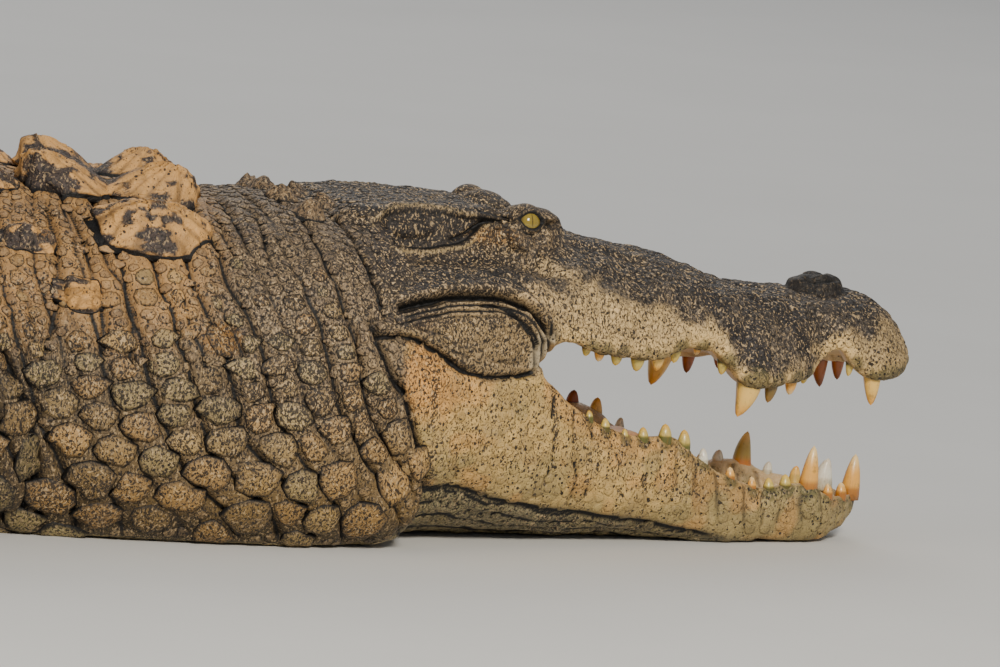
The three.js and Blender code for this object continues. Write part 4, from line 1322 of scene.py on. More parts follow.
# Painted shade: the skin that shows between the lower scales of the neck is darkened.
skin_s, _, skin_z = skin.points.T
shade_between_scales = ramp(540, 600, skin_s) * ramp(190, 130, skin_z)
shade_between_scales = shade_between_scales * ramp(0, -12, skin_s - neck_edge(skin_z))
tones = dimmed(tones, 0.45 * shade_between_scales)
FLESH = ["head", "lower_jaw", "neck", "trunk_chest", "trunk_belly", "trunk_loin"]
FLESH += [f"tail_{i}" for i in range(1, 6)]
FLESH += [f"{part}_{side}" for side in ("left", "right")
          for part in ("ear_flap", "upper_arm", "forearm", "forefoot", "thigh", "shank", "hindfoot")]
skin.mesh.name = "skin"
skin.mesh.vertices.foreach_set("co", bend(skin.points).astype(np.float32).ravel())
add_colour(skin.mesh, "tone", tones)
add_colour(skin.mesh, "marks", marks)
skin.mesh.materials.clear()
skin.mesh.polygons.foreach_set("material_index", [0] * len(skin.mesh.polygons))
finished("skin", skin.mesh, hide, "hide", FLESH)

# ---------------------------------------------------------------- places for the coat

def tree_of(points):
    tree = kdtree.KDTree(len(points))
    for i, point in enumerate(points):
        tree.insert(point, i)
    tree.balance()
    return tree


skin_tree = tree_of(skin.points)


def dropped(points):
    """Points dropped on the skin's nearest plane, with the nearest vertex and its distance."""
    found = [skin_tree.find(point) for point in points]
    index, distance = np.array([f[1] for f in found], int), np.array([f[2] for f in found])
    normals = skin.normals[index]
    drop = np.sum((points - skin.points[index]) * normals, 1)
    return points - normals * drop[:, None], index, distance


def on_skin(points):
    """Points dropped on the skin, with its normal and the painted shade of its creases there."""
    spots, index, _ = dropped(points)
    return spots, skin.normals[index], skin.dark[index]


def strew(section, start, stop, pitch, spacing, jitter=0.28, keep=None):
    """Staggered rows of places round a form's sections, each with its wanted size.

    Pitch is the distance between rows; spacing gives the gaps along a row."""
    places, sizes = [], []
    s, row = start, 0
    while s < stop:
        line = section(s)
        gap = spacing(line)
        length = np.linalg.norm(np.diff(line, axis=0), axis=1)
        run = np.concatenate([[0], np.cumsum(2 * length / (gap[1:] + gap[:-1]))])
        count = max(int(round(run[-1])), 1)
        marks = np.arange(count) + 0.25 + 0.5 * (row % 2) + rng.uniform(-jitter, jitter, count)
        marks = marks * run[-1] / count
        spots = np.stack([np.interp(marks, run, line[:, axis]) for axis in range(3)], 1)
        size = np.interp(marks, run, gap)
        spots[:, 0] += rng.uniform(-jitter, jitter, count) * pitch
        places.append(spots)
        sizes.append(np.sqrt(size * pitch))
        s += pitch
        row += 1
    places, sizes = np.concatenate(places), np.concatenate(sizes)
    if keep is not None:
        chosen = keep(places)
        places, sizes = places[chosen], sizes[chosen]
    return places, sizes


WIDE = 19                        # places larger than this also stand in creases


class Seeds:
    """Places on the skin where scales grow."""

    def __init__(self, groups, reach=16):
        places = np.concatenate([g[0] for g in groups])
        self.size = np.concatenate([g[1] for g in groups])
        self.kind = np.repeat(np.arange(len(groups)), [len(g[0]) for g in groups])
        self.at, index, distance = dropped(places)
        self.normal = skin.normals[index]
        self.select((distance < reach) & (self.at[:, 2] > 0.2))
        self.thin()
        self.clear_of_creases()

    def select(self, chosen):
        for name in ("at", "size", "kind", "normal"):
            setattr(self, name, getattr(self, name)[chosen])

    def clear_of_creases(self, limit=0.36):
        """Drops small scales from the creases and from the bare wrinkled folds."""
        open_skin = (on_skin(self.at)[2] < limit) & ~bare_skin(self.at)
        self.select(open_skin | (self.size > WIDE))

    def thin(self, closeness=0.62, between=0.96):
        """Drops each place that lies too near an earlier one, most of all between low bumps."""
        tree = tree_of(self.at)
        kept = np.ones(len(self.at), bool)
        for i, point in enumerate(self.at):
            if not kept[i]:
                continue
            low_bump = self.size[i] > 24 and point[2] < 150
            for _, j, distance in tree.find_range(point, 0.9 * self.size[i]):
                share = between if low_bump and self.size[j] < WIDE else closeness
                if j > i and distance < share * 0.5 * (self.size[i] + self.size[j]):
                    kept[j] = False
        self.select(kept)

    def cells(self, sides, neighbours=14, roundness=0.35, fill=0.64):
        """Radii of each place's cell in evenly turned directions, and its tangent frame."""
        tree = tree_of(self.at)
        near = np.zeros((len(self.at), neighbours), int)
        for i, point in enumerate(self.at):
            found = [f[1] for f in tree.find_n(point, neighbours + 1)][1:]
            near[i, :len(found)] = found
        first, second = tangent_frame(self.normal)
        offset = self.at[near] - self.at[:, None]
        a = np.einsum("nkd,nd->nk", offset, first)
        b = np.einsum("nkd,nd->nk", offset, second)
        same_side = np.einsum("nkd,nd->nk", self.normal[near], self.normal) > 0.0
        weight = (0.5 * self.size) ** 2
        power = 0.5 * (np.sum(offset ** 2, 2) + weight[:, None] - weight[near])
        turn = turns(sides, 0.5)
        radii = np.empty((len(self.at), sides))
        for k, angle in enumerate(turn):
            reach = a * math.cos(angle) + b * math.sin(angle)
            ahead = (reach > 1e-3) & same_side
            limit = np.where(ahead, power / np.maximum(reach, 1e-3), 1e6)
            sideways = abs(math.sin(angle)) ** 2 * (self.size > 22)
            most = self.size * mix(fill, np.maximum(fill, 0.82), sideways)
            radii[:, k] = np.clip(limit.min(1), 0.12 * self.size, most)
        around = 0.5 * (np.roll(radii, 1, 1) + np.roll(radii, -1, 1))
        return mix(radii, np.minimum(radii, around), roundness), turn, first, second


def unwrap(points):
    """Places on an unrolled skin: along the spine, and round the section or down the leg."""
    s, y, z = points.T
    middle = np.where(s > MOUTH_CORNER, 150, 0.45 * body_top(s))
    u = 0.005 + 0.98 * (s - TAIL_TIP) / (SNOUT_TIP - TAIL_TIP)
    v = 0.005 + 0.78 * (np.arctan2(z - middle, y) / (2 * np.pi) + 0.5)
    outside = np.abs(y) > body_half_width(s) + 12
    leg = outside & (s < 800)
    leg_v = 0.80 + 0.19 * clamp(z / 260) * np.where(y > 0, 0.5, 1.0)
    leg_u = 0.01 + 0.98 * clamp((s + 620) / 1340)
    return np.stack([np.where(leg, leg_u, u), np.where(leg, leg_v, v)], 1)


def bare_skin(points):
    """True where wrinkled folds, lids and nostrils stay free of scales."""
    s, y, z = points.T
    bare = np.zeros(len(points), bool)
    near = (s > 930) & (s < 1125) & (np.abs(y) > 45) & (z > 150)
    flat = points[near][:, [0, 2]]
    distance, share = path_distance(flat, CHEEK_FOLD)
    folds = (distance < 3) & (distance > -19) & (share > 0.04) & (share < 0.97)
    fan = (flat[:, 0] > 1066) & (flat[:, 0] < 1106) & (flat[:, 1] > 160) & (flat[:, 1] < 202)
    lids = eye_share(points[near])[0] < 1.8
    lens = (path_distance(flat, EAR_UPPER)[0] < 2) & (path_distance(flat, EAR_LOWER)[0] > -11)
    lens &= (flat[:, 0] > 938) & (flat[:, 0] < 1060) & (flat[:, 1] > 250) & (flat[:, 1] < 296)
    bare[near] = folds | fan | lids | lens
    return bare | ((s > 1386) & (s < 1454) & (np.abs(y) < 30) & (z > 226))


ROOT_PATCH = 0.003               # width of one scale's patch in the unrolled map
LOWEST = 0.25                    # the scales' lowest points lie this high


def coat_piece(name, groups, sides, rise, slot="hide", gap=0.9, crown=0.55, sink=1.2, reach=16,
               edge_shade=0.8, tints=(), **cell):
    """Scales as low closed domes, one for each place: groups are strewn places with their rises.

    Each of the tints is for the group of the same number: colours to choose from, their share and
    how much of the speckle stays."""
    seeds = Seeds(groups, reach)
    radii, turn, first, second = seeds.cells(sides, **cell)
    count, per = len(seeds.at), 3 * sides + 1
    levels = [sides, sides, sides + 1]          # the points of the rim, the shoulder and the top
    rises = np.asarray(rise, float)[seeds.kind] * seeds.size
    rises = rises * (1 + 0.35 * rng.uniform(-1, 1, count))
    cosine, sine = np.cos(turn)[None], np.sin(turn)[None]
    inner = np.maximum(radii - gap / 2, 0.45 * radii)
    a, b = inner * cosine, inner * sine
    rim = seeds.at[:, None] + a[..., None] * first[:, None] + b[..., None] * second[:, None]
    rim, rim_normals, rim_dark = on_skin(rim.reshape(-1, 3))
    rim, rim_normals = (v.reshape(count, sides, 3) for v in (rim, rim_normals))
    centre, centre_normal, centre_dark = on_skin(seeds.at)
    lift = rises[:, None, None]
    lean = mix(centre_normal[:, None], rim_normals, 0.5)
    base = rim - rim_normals * sink
    shoulder = mix(centre[:, None], rim, 0.93) + lean * 0.5 * lift
    top = mix(centre[:, None], rim, crown) + centre_normal[:, None] * 0.92 * lift
    middle = centre + centre_normal * lift[:, 0]
    points = np.concatenate([base, shoulder, top, middle[:, None]], 1)
    points[..., 2] = np.maximum(points[..., 2], LOWEST)
    flat_points = points.reshape(-1, 3)

    k = np.arange(sides)
    after = (k + 1) % sides
    quads = np.concatenate([np.stack([k, after, after + sides, k + sides], 1) + r * sides for r in (0, 1)])
    tris = np.stack([k + 2 * sides, after + 2 * sides, np.full(sides, 3 * sides)], 1)
    starts = (np.arange(count) * per)[:, None, None]
    faces = [(starts + f[None]).reshape(-1, f.shape[1]) for f in (quads, tris, k[::-1][None])]

    normals = np.concatenate([rim_normals, rim_normals, np.repeat(centre_normal[:, None], sides + 1, 1)], 1)
    rim_dark = rim_dark.reshape(count, sides)
    crease = np.concatenate([rim_dark, rim_dark, np.repeat(centre_dark[:, None], sides + 1, 1)], 1)
    # Painted shade: each scale's rim and shoulder are darkened by edge_shade, over the skin's painted
    # crease shade.
    shade = edge_shade * np.repeat([1.2, 0.62, 0.0], levels)
    dark = np.maximum(shade, 0.9 * crease)
    tone, mark = hide_looks(flat_points, normals.reshape(-1, 3), dark.ravel())
    inside = np.tile(np.repeat([0.4, 0.9, 1.0], levels), count)
    for kind, (colours, amount, kept) in enumerate(tints):
        mine = np.repeat(seeds.kind == kind, per)
        choice = np.repeat(rng.integers(0, len(colours), count), per)
        tone = layered(tone, (np.array(colours)[choice], amount * mine * inside))
        mark[:, 0] *= np.where(mine, kept, 1)
    tint = 1 + 0.10 * rng.standard_normal(count)
    tone = clamp(tone * np.repeat(tint, per)[:, None])

    local = np.zeros((count, per, 2))
    for r, share in enumerate((1.0, 0.86, crown)):
        local[:, r * sides:(r + 1) * sides] = share * np.stack([cosine, sine], 2)
    uv = (unwrap(centre)[:, None] + 0.5 * ROOT_PATCH * local).reshape(-1, 2)
    coat_mesh(name, flat_points, faces, tone, mark, uv, slot)


def coat_mesh(name, points, face_groups, tone, mark, uv, slot):
    """A piece of the coat, from arrays of faces with equally many corners each."""
    mesh = bpy.data.meshes.new(name)
    corners = np.concatenate([f.ravel() for f in face_groups]).astype(np.int32)
    totals = np.concatenate([np.full(len(f), f.shape[1]) for f in face_groups])
    starts = np.concatenate([[0], np.cumsum(totals)[:-1]]).astype(np.int32)
    mesh.vertices.add(len(points))
    mesh.vertices.foreach_set("co", bend(points).astype(np.float32).ravel())
    mesh.loops.add(len(corners))
    mesh.loops.foreach_set("vertex_index", corners)
    mesh.polygons.add(len(totals))
    mesh.polygons.foreach_set("loop_start", starts)
    mesh.update(calc_edges=True)
    layer = mesh.uv_layers.new(name="OFBake")
    layer.data.foreach_set("uv", clamp(uv, 0.001, 0.999)[corners].astype(np.float32).ravel())
    add_colour(mesh, "tone", tone)
    add_colour(mesh, "marks", mark)
    finished(name, mesh, hide, slot)


def by_corners(faces):
    """Lists of faces as arrays, one for each number of corners."""
    groups = {}
    for face in faces:
        groups.setdefault(len(face), []).append(face)
    return [np.array(those) for those in groups.values()]


# ---------------------------------------------------------------- keeled scutes

RIM = 0.965                      # share of a scute's radius where its edge drops to the skin


def scute_forms(rows, sides=24, count=7, grooves=13, wrinkle=0.8):
    """Keeled plates on the skin from rows of (station, y, length, width, height)."""
    shares = np.concatenate([np.linspace(0, 0.93, count) ** 0.9, [0.97, 1.0, 1.05]])
    levels = len(shares)
    share = np.repeat(shares, sides)
    angle = np.tile(turns(sides), levels)
    c, d = np.cos(angle), np.sin(angle)
    body = ramp(0.05, 0.3, share) * (share < 0.97)
    parts, columns = [], []

    def outward(values):
        return values.reshape(levels, sides, *values.shape[1:])[::-1].reshape(-1, *values.shape[1:])

    for station, y, length, width, height in rows:
        at, normal, _ = on_skin(np.array([[station, y, back_height(station, y)]]))
        first, second = tangent_frame(normal)
        wobble = 1 + 0.06 * np.sin(3 * angle + station) + 0.04 * np.sin(5 * angle + 2 * station)
        a = share * wobble * length / 2 * np.sign(c) * np.abs(c) ** 0.85
        b = share * wobble * width / 2 * np.sign(d) * np.abs(d) ** 0.85
        plane = at + a[:, None] * first + b[:, None] * second
        spots, local, _ = on_skin(plane)
        # Near the spine the plate follows the back's smooth surface, not the creased skin.
        held = ramp(0.99, 0.9, share) * (abs(y) < 130)
        over = np.stack([plane[:, 0], plane[:, 1], back_height(plane[:, 0], plane[:, 1])], 1)
        spots = mix(spots, over, held[:, None])
        local = mix(local, normal, np.maximum(0.92 * held, 0.6 * (share < 0.95))[:, None])
        local /= np.linalg.norm(local, axis=1, keepdims=True)
        # The keel bows a little; the plate's roof falls away from it and to both ends.
        along = clamp(np.abs(a) / (length / 2))
        bow = b - 0.06 * width * np.sin(3.0 * a / length + station)
        across = clamp(np.abs(bow) / (width / 2 * np.sqrt(np.maximum(1.05 - along ** 2, 0.05))))
        roof = (1 - across) ** 1.15 * (1 - along ** 2.2) * np.where(share < 1, 1, 0)
        rear = 0.66 + 0.34 * ramp(0.45 * length, -0.1 * length, a)
        rear = rear * ramp(-0.52 * length, -0.24 * length, a)
        dome = np.maximum(1 - share ** 2.2, 0) ** 0.75
        lift = height * (0.44 * dome + 0.64 * roof * rear)
        # Grooves run from the middle to the rim, over rough horn with small pits.
        spin = angle * grooves + station + 1.4 * np.sin(2 * angle + station)
        groove = 0.5 - 0.5 * np.cos(spin + 2.0 * cloud(spots, 22, 74))
        grain = cloud(spots, 5.5, 72)
        rough = wrinkle * (1.2 * cloud(spots, 11, 71) + grain + 0.5 * cloud(spots, 2.8, 73))
        rough = rough + 0.09 * height * cloud(spots, 24, 75)
        lift = lift + (rough + min(1.6, 0.06 * height) * (groove ** 0.6 - 0.6)) * body
        edge = 0.08 * height * (1.0 - share) / 0.03
        lift = np.where(share > 1.02, -2.5, np.where(share > RIM, edge, lift))
        spots = spots + local * lift[:, None]
        points, faces = loft(outward(spots).reshape(levels, sides, 3), closed_ends=False)
        faces.append(list(range(sides))[::-1])
        parts.append((points, faces))
        # Painted shade in the grooves and pits, and at the rim where the plate drops to the skin.
        pits = 0.25 * ramp(0.1, 0.7, -cloud(spots, 5.5, 72)) * body
        shade = np.maximum(0.55 * ramp(0.3, 0.0, groove) * body * share, pits)
        keel = bell(bow, 0.11 * width) * (1 - along ** 2)
        uv = unwrap(at) + 0.5 * ROOT_PATCH * np.stack([c, d], 1) * share[:, None]
        shade = np.where(share > RIM, 0.9, shade)
        columns.append([outward(values) for values in (local, shade, keel, uv)])
    return *joined(*parts), *(np.concatenate(values) for values in zip(*columns))


def scute_looks(points, normals, dark, keel, sand):
    """Sandy plates with dark slate patches and ochre crests."""
    tone, mark = hide_looks(points, normals, dark)
    patch = cloud(points, 24, 81) + 0.7 * cloud(points, 9, 82) + 0.4 * cloud(points, 4, 83)
    slate = ramp(-0.04, 0.1, patch - 0.3 * keel) * ramp(0, 0.5, sand)
    crest = keel * ramp(-0.5, 0.3, cloud(points, 12, 84))
    tone = layered(tone, (SAND * 0.92, sand), (DARK_SLATE * 0.6, 0.95 * slate),
                   (OCHRE * 0.8, 0.75 * sand * crest))
    mark[:, 0] = mark[:, 0] * mix(1, 0.42, sand) + 0.35 * slate + 0.25 * sand * crest
    return clamp(tone), clamp(mark)


def add_scutes(name, rows, sand, **how):
    points, faces, normals, dark, keel, uv = scute_forms(rows, **how)
    tone, mark = scute_looks(points, normals, dark, keel, sand)
    coat_mesh(name, points, by_corners(faces), tone, mark, uv, "hide")


# Rows of (station, y, length, width, height) for the animal's left side.
NECK_SCUTES = [(752, 40, 100, 66, 32), (678, 40, 104, 68, 36), (742, 112, 92, 76, 26),
               (612, 60, 64, 58, 16), (650, 146, 46, 34, 13), (690, 175, 40, 36, 12)]
NAPE_SCUTES = [(872, 24, 30, 34, 12), (880, 72, 30, 34, 12), (912, 30, 26, 30, 12)]
BACK_ROWS = 17
back_step = (520 - VENT) / BACK_ROWS


def mirrored_rows(rows):
    return [(s, side * y, *rest) for s, y, *rest in rows for side in (1, -1)]


def back_rows():
    """Rows of keeled scutes from the shoulders to the hips, fewer across at both ends."""
    rows = []
    for i in range(BACK_ROWS):
        station = VENT + (i + 0.5) * back_step
        shield = 0.66 * float(body_half_width(station))
        across = max(2, int(round(shield / 56)))
        width = shield / across
        for j in range(across):
            height = 13 - 2.2 * abs(j - 0.8)
            rows.append((station, (j + 0.5) * width, back_step * 0.97, width * 0.94, height))
    return rows


CREST_JOIN = -1430
DOUBLE_CRESTS = 15
SINGLE_CRESTS = 18
CREST_ROOT = 9                   # how deep a blade starts below the back
crest_height = profile((VENT, 8), (-800, 24), (CREST_JOIN, 46), (-1600, 62), (-2100, 52), (-2500, 22))


def tail_crests():
    """Station, y, length and height of each blade: two rows that join, then one."""
    double_step = (CREST_JOIN - VENT) / DOUBLE_CRESTS
    single_step = (TAIL_TIP - CREST_JOIN) / SINGLE_CRESTS
    for i in range(DOUBLE_CRESTS):
        station = VENT + (i + 0.5) * double_step
        spread = 0.5 * body_half_width(station) * ramp(CREST_JOIN + 20, CREST_JOIN + 500, station)
        for side in (1, -1):
            yield station, side * (spread + 9), abs(double_step) * 0.9, crest_height(station)
    for i in range(SINGLE_CRESTS):
        station = CREST_JOIN + (i + 0.5) * single_step
        yield station, 0, abs(single_step) * 0.92, crest_height(station)


def crest_forms(levels=8, sides=12):
    """Upright blades along the tail that lean back, as the solids' crests do."""
    parts, roots = [], []
    turn = turns(sides)
    patch = 0.5 * ROOT_PATCH * np.stack([np.cos(turn), np.sin(turn)], 1)
    for station, y, length, height in tail_crests():
        surface = back_height(station, y)
        thick = 3.5 + 0.09 * height
        rings = []
        for t in np.linspace(0, 0.97, levels):
            half = 0.5 * length * (1 - t) ** 0.85
            centre = station - 0.4 * length * t ** 1.15
            side = thick * (1 - t) ** 0.7
            ring = [centre + half * np.cos(turn), y + side * np.sin(turn),
                    np.full(sides, surface - CREST_ROOT + (CREST_ROOT + height) * t)]
            rings.append(np.stack(ring, 1))
        parts.append(loft(np.array(rings)))
        root = unwrap(np.array([[station, y, surface]]))
        roots += [root + patch * (1 - 0.1 * k) for k in range(levels)]
    points, faces = joined(*parts)
    uneven = [cloud(points, 9, 91), 0.6 * cloud(points, 9, 92), 0 * points[:, 0]]
    return points + 0.7 * np.stack(uneven, 1), faces, np.concatenate(roots)


def add_crests():
    points, faces, uv = crest_forms()
    # Painted shade where each blade meets the back.
    dark = 0.8 * ramp(6, -2, points[:, 2] - back_height(points[:, 0], points[:, 1]))
    tone, mark = hide_looks(points, np.tile([0.0, 0.6, 0.5], (len(points), 1)), dark)
    coat_mesh("tail_crests", points, by_corners(faces), tone, mark, uv, "hide")


# ---------------------------------------------------------------- the coat

full_turn = np.linspace(0, 2 * np.pi, 361)


def body_section(s):
    return body_point(s, full_turn)


def ring_section(rings):
    def section(s):
        line = rounded_rings(rings(np.array([float(s)])))[0]
        return np.concatenate([line, line[:1]])
    return section


head_section, jaw_section = ring_section(head_rings), ring_section(lower_jaw_rings)


def even(size):
    """The same gap everywhere along a row."""
    return lambda line: np.full(len(line), float(size))


def side_width(s, z):
    """Half the body's width at a height."""
    middle, upper = body_top(s) * widest_height(s), back_squareness(s)
    above = clamp((z - middle) / (body_top(s) - middle)) ** upper
    below = clamp((middle - z) / (middle + body_sink(s))) ** BELLY_SQUARENESS
    power = np.where(z > middle, 1 / upper, 1 / BELLY_SQUARENESS)
    return body_half_width(s) * (1 - np.where(z > middle, above, below)) ** power


bump_size = profile((20, 38), (50, 40), (95, 35), (150, 26), (200, 20), (250, 15))


def neck_bumps():
    """The large round scales that stand in columns between the neck's creases."""
    places, sizes = [KNOB, (KNOB[0], -KNOB[1], KNOB[2])], [34, 34]
    for side in (1, -1):
        for column in range(int(520 / CREASE_PITCH), int(1000 / CREASE_PITCH)):
            z = 262 - rng.uniform(0, 24)
            while z > 10:
                size = bump_size(z) * rng.uniform(0.75, 1.15)
                z -= 0.46 * size
                s = (column + 0.5) * CREASE_PITCH
                for _ in range(6):
                    spot = np.array([[s, side * float(side_width(s, z)), z]])
                    s += float((column + 0.5 - crease_run(spot)[0]) * CREASE_PITCH) * 0.8
                wanted = rng.random() < mix(0.45, 1.0, ramp(230, 150, z))
                if 545 < s < float(neck_edge(z)) - 12 and wanted:
                    places.append([s + rng.uniform(-3, 3), side * float(side_width(s, z)), z])
                    sizes.append(size)
                z -= 0.48 * size
    return np.array(places), np.array(sizes)


def away_from_scutes(points, rows, reach=0.92):
    """False where a point lies on one of the keeled scutes."""
    clear = np.ones(len(points), bool)
    for station, y, length, width, _ in rows:
        a = (points[:, 0] - station) / (length / 2)
        b = (points[:, 1] - y) / (width / 2)
        clear &= ~((a * a + b * b < reach) & (points[:, 2] > 120))
    return clear


neck_scutes = mirrored_rows(NECK_SCUTES)
nape_scutes = mirrored_rows(NAPE_SCUTES)
back_scutes = mirrored_rows(back_rows())

BUMP_TONES = [rgb(184, 152, 92), rgb(190, 144, 80), rgb(170, 152, 100), rgb(150, 118, 66)]
CELL_TONES = [rgb(128, 104, 78), rgb(156, 130, 96), rgb(110, 92, 74)]
SHOULDER = 536                   # station where the neck's scales give way to the trunk's


def on_neck(points):
    s, _, z = points.T
    clear = away_from_scutes(points, neck_scutes + nape_scutes)
    return (z > 3) & clear & (s < np.maximum(neck_edge(z) - 3, 932))


def on_flank(lowest, highest=math.inf):
    """Keeps the places above a height, and below a share of the back's height."""
    def keep(points):
        s, _, z = points.T
        return (z > lowest) & (z < highest * body_top(s)) & away_from_scutes(points, back_scutes, 1.05)
    return keep


def outside_mouth(points):
    return mouth_inside(points, on_skin(points)[1]) < 0.25


def tail_gap(line):
    return 13 + 11 * ramp(-1900, -700, line[:, 0])


neck_cells = strew(body_section, SHOULDER, 975, 9.6, even(11.5), 0.34, keep=on_neck)
neck_belly = strew(body_section, SHOULDER, 932, 26, even(30), 0.08, keep=lambda p: p[:, 2] < 2)
coat_piece("scales_neck", [neck_bumps(), neck_cells, neck_belly], 9, (0.09, 0.11, 0.04), gap=1.4,
           edge_shade=0.95, crown=0.7, roundness=0.15,
           tints=[(BUMP_TONES, 0.42, 1.25), (CELL_TONES, 0.35, 1.0), (CELL_TONES, 0.5, 1.0)])

flank = strew(body_section, -500, SHOULDER, 17, even(19), 0.26, keep=on_flank(14))
knobs, _ = strew(body_section, VENT, SHOULDER, 52, even(46), 0.2, keep=on_flank(60, 0.8))
belly = strew(body_section, -500, SHOULDER, 33, even(38), 0.05, keep=lambda p: p[:, 2] < 12)
coat_piece("scales_trunk", [(knobs, np.full(len(knobs), 30.0)), flank, belly], 8, (0.16, 0.11, 0.05),
           gap=1.6, tints=[(BUMP_TONES, 0.5, 0.6), (CELL_TONES, 0.3, 0.9), (BUMP_TONES, 0.3, 0.5)])

tail_top = strew(body_section, -2480, -500, 22, tail_gap, 0.08, keep=lambda p: p[:, 2] > 4)
tail_under = strew(body_section, -2480, -500, 33, even(34), 0.04, keep=lambda p: p[:, 2] < 4)
coat_piece("scales_tail", [tail_top, tail_under], 8, (0.11, 0.04), gap=1.5, roundness=0.2)

head_cells = strew(head_section, 936, 1510, 8.6, even(9.6), 0.34, keep=outside_mouth)
coat_piece("scales_head", [head_cells], 7, (0.075,), gap=0.7, crown=0.6, sink=0.8, edge_shade=0.55)
jaw_cells = strew(jaw_section, 936, 1478, 11.0, even(12.0), 0.34, keep=outside_mouth)
coat_piece("scales_jaw", [jaw_cells], 8, (0.045,), "jaw_hide", gap=0.7, crown=0.65, sink=0.8,
           edge_shade=0.30)


def leg_groups():
    """Places for the scales round each limb, over its palm and round its toes."""
    groups = []
    angles = np.linspace(0, 2 * np.pi, 121)
    for side, leg in itertools.product((1, -1), LEGS.values()):
        joints, wrist, forward, toes = foot_layout(leg, side)
        reach = float(np.sum(np.linalg.norm(np.diff(joints[:, :3], axis=0), axis=1)))
        places, sizes = strew(lambda d: limb_ring(joints, d / reach, angles), 0, reach, 13.5,
                              even(15), 0.22)
        clear = np.abs(places[:, 1]) > body_half_width(places[:, 0]) + 2
        groups.append((places[clear], sizes[clear]))
        palm, width = leg["palm"], leg["width"]
        across = np.cross(UP, forward)
        grid = [wrist * [1, 1, 0] + forward * a + across * b + UP * 40
                for a in np.arange(-0.2 * palm, 1.05 * palm, 10.5)
                for b in np.arange(-width, width + 1, 12)]
        groups.append((np.array(grid) + rng.uniform(-2, 2, (len(grid), 3)), np.full(len(grid), 11.5)))
        for toe in toes:
            groups.append(strew(lambda d: toe_section(leg, toe, d / toe[2], angles), 0.15 * toe[2],
                                toe[2] - 2, 8.5, even(9.5), 0.14))
    return groups


legs = leg_groups()
coat_piece("scales_legs", legs, 7, [0.10] * len(legs), gap=1.1, reach=30)
add_scutes("scutes_neck", neck_scutes, 0.95, sides=96, count=28, grooves=11, wrinkle=1.6)
add_scutes("scutes_nape", nape_scutes, 0.12, sides=40, count=10, grooves=9, wrinkle=1.8)
add_scutes("scutes_back", back_scutes, 0.45)
add_crests()

# ---------------------------------------------------------------- teeth, tongue, claws and eyes

# Colours of the root, middle and tip of a tooth.
TINTS = {
    "c": (rgb(206, 172, 90), rgb(244, 196, 100), rgb(238, 170, 70)),
    "o": (rgb(168, 104, 30), rgb(236, 172, 76), rgb(246, 212, 148)),
    "m": (rgb(212, 132, 50), rgb(184, 158, 78), rgb(248, 204, 124)),
    # 'b' is dark brown: a brown stain, with painted shade on the teeth of the mouth's far side.
    "b": (rgb(70, 34, 3), rgb(160, 84, 10), rgb(126, 62, 6)),
    "g": (rgb(84, 76, 22), rgb(210, 184, 92), rgb(236, 196, 92)),
    "d": (rgb(58, 54, 26), rgb(120, 96, 44), rgb(150, 112, 52)),
    "w": (rgb(196, 186, 158), rgb(234, 228, 210), rgb(226, 214, 190)),
    "a": (rgb(90, 88, 30), rgb(204, 178, 92), rgb(232, 182, 80)),
}
# Share left of the teeth that are shorter than the row says, by (way, side, station).
WORN = {(1, 1, 1463): 0.62, (1, 1, 1399): 0.76, (-1, 1, 1489): 0.6,
        (-1, -1, 1502): 0.3, (-1, -1, 1489): 0.25, (-1, -1, 1477): 0.3}
# One letter for each tooth of a row, by side.
UPPER_TINTS = {-1: "cbbcggodcgogcggog", 1: "bbbbbbbbcobbobbgb"}
LOWER_TINTS = {-1: "ooooggoowaaagga", 1: "wcwmwcwwwcbbbbb"}


TOOTH_ROOT = 8                   # how deep a tooth starts in the gum


def tooth_form(row, side, half_width, lip, inset, way, sides=18, levels=12):
    """One tooth that points up (way 1) or down (way -1), and the share along it of each point."""
    station, length, radius, lean = (*row, 0)[:4]
    y = side * max(float(half_width(station)) - inset, 7)
    gum = float(lip(station))
    base = np.array([station, y, gum - TOOTH_ROOT * way])
    tip = np.array([station - lean, y, gum + way * length])
    bow = np.array([0.25 * lean, 1.5 * side, 0])
    turn = turns(sides)
    ribs = 1 + 0.025 * np.cos(turn * 9)
    blunt = ramp(26, 12, length)
    rings = []
    shares = np.linspace(0, 1, levels) ** 0.85
    for t in shares:
        size = radius * (1 - t ** mix(1.8, 2.3, blunt)) ** mix(0.68, 0.6, blunt) + 0.3 * (t < 1)
        centre = base + (tip - base) * t + 4 * t * (1 - t) * bow
        ring = [np.cos(turn) * ribs, 0.86 * np.sin(turn) * ribs, 0 * turn]
        rings.append(centre + size * np.stack(ring, 1))
    points, faces = loft(np.array(rings))
    if way < 0:
        faces = [face[::-1] for face in faces]
    start = TOOTH_ROOT / (length + TOOTH_ROOT)
    return points, faces, clamp((np.repeat(shares, sides) - start) / (1 - start))


def tooth_tone(share, tint):
    root, middle, tip = TINTS[tint]
    tone = root + (middle - root) * ramp(0.02, 0.2, share)[:, None]
    return tone + (tip - tone) * ramp(0.45, 0.95, share)[:, None]


def enamel_material():
    g = Graph("tooth_enamel")
    streak = g.noise(1.0, 4.0, 0.6, g.stretched((620, 620, 90)))
    stain = g.noise(130, 3.0, 0.6)
    g.set(Base_Color=g.layered(g.attribute("tone"),
                               (g.times(g.step(streak, 0.52, 0.72), 0.35), rgb(150, 92, 40)),
                               (g.times(g.step(stain, 0.56, 0.70), 0.4), rgb(92, 70, 34))),
          Roughness=g.plus(0.22, g.times(stain, 0.25)), Subsurface_Weight=0.02,
          Subsurface_Scale=0.003, Coat_Weight=0.3, Coat_Roughness=0.18)
    g.bump(streak, 0.0004, 0.5)
    return g.material


enamel = enamel_material()


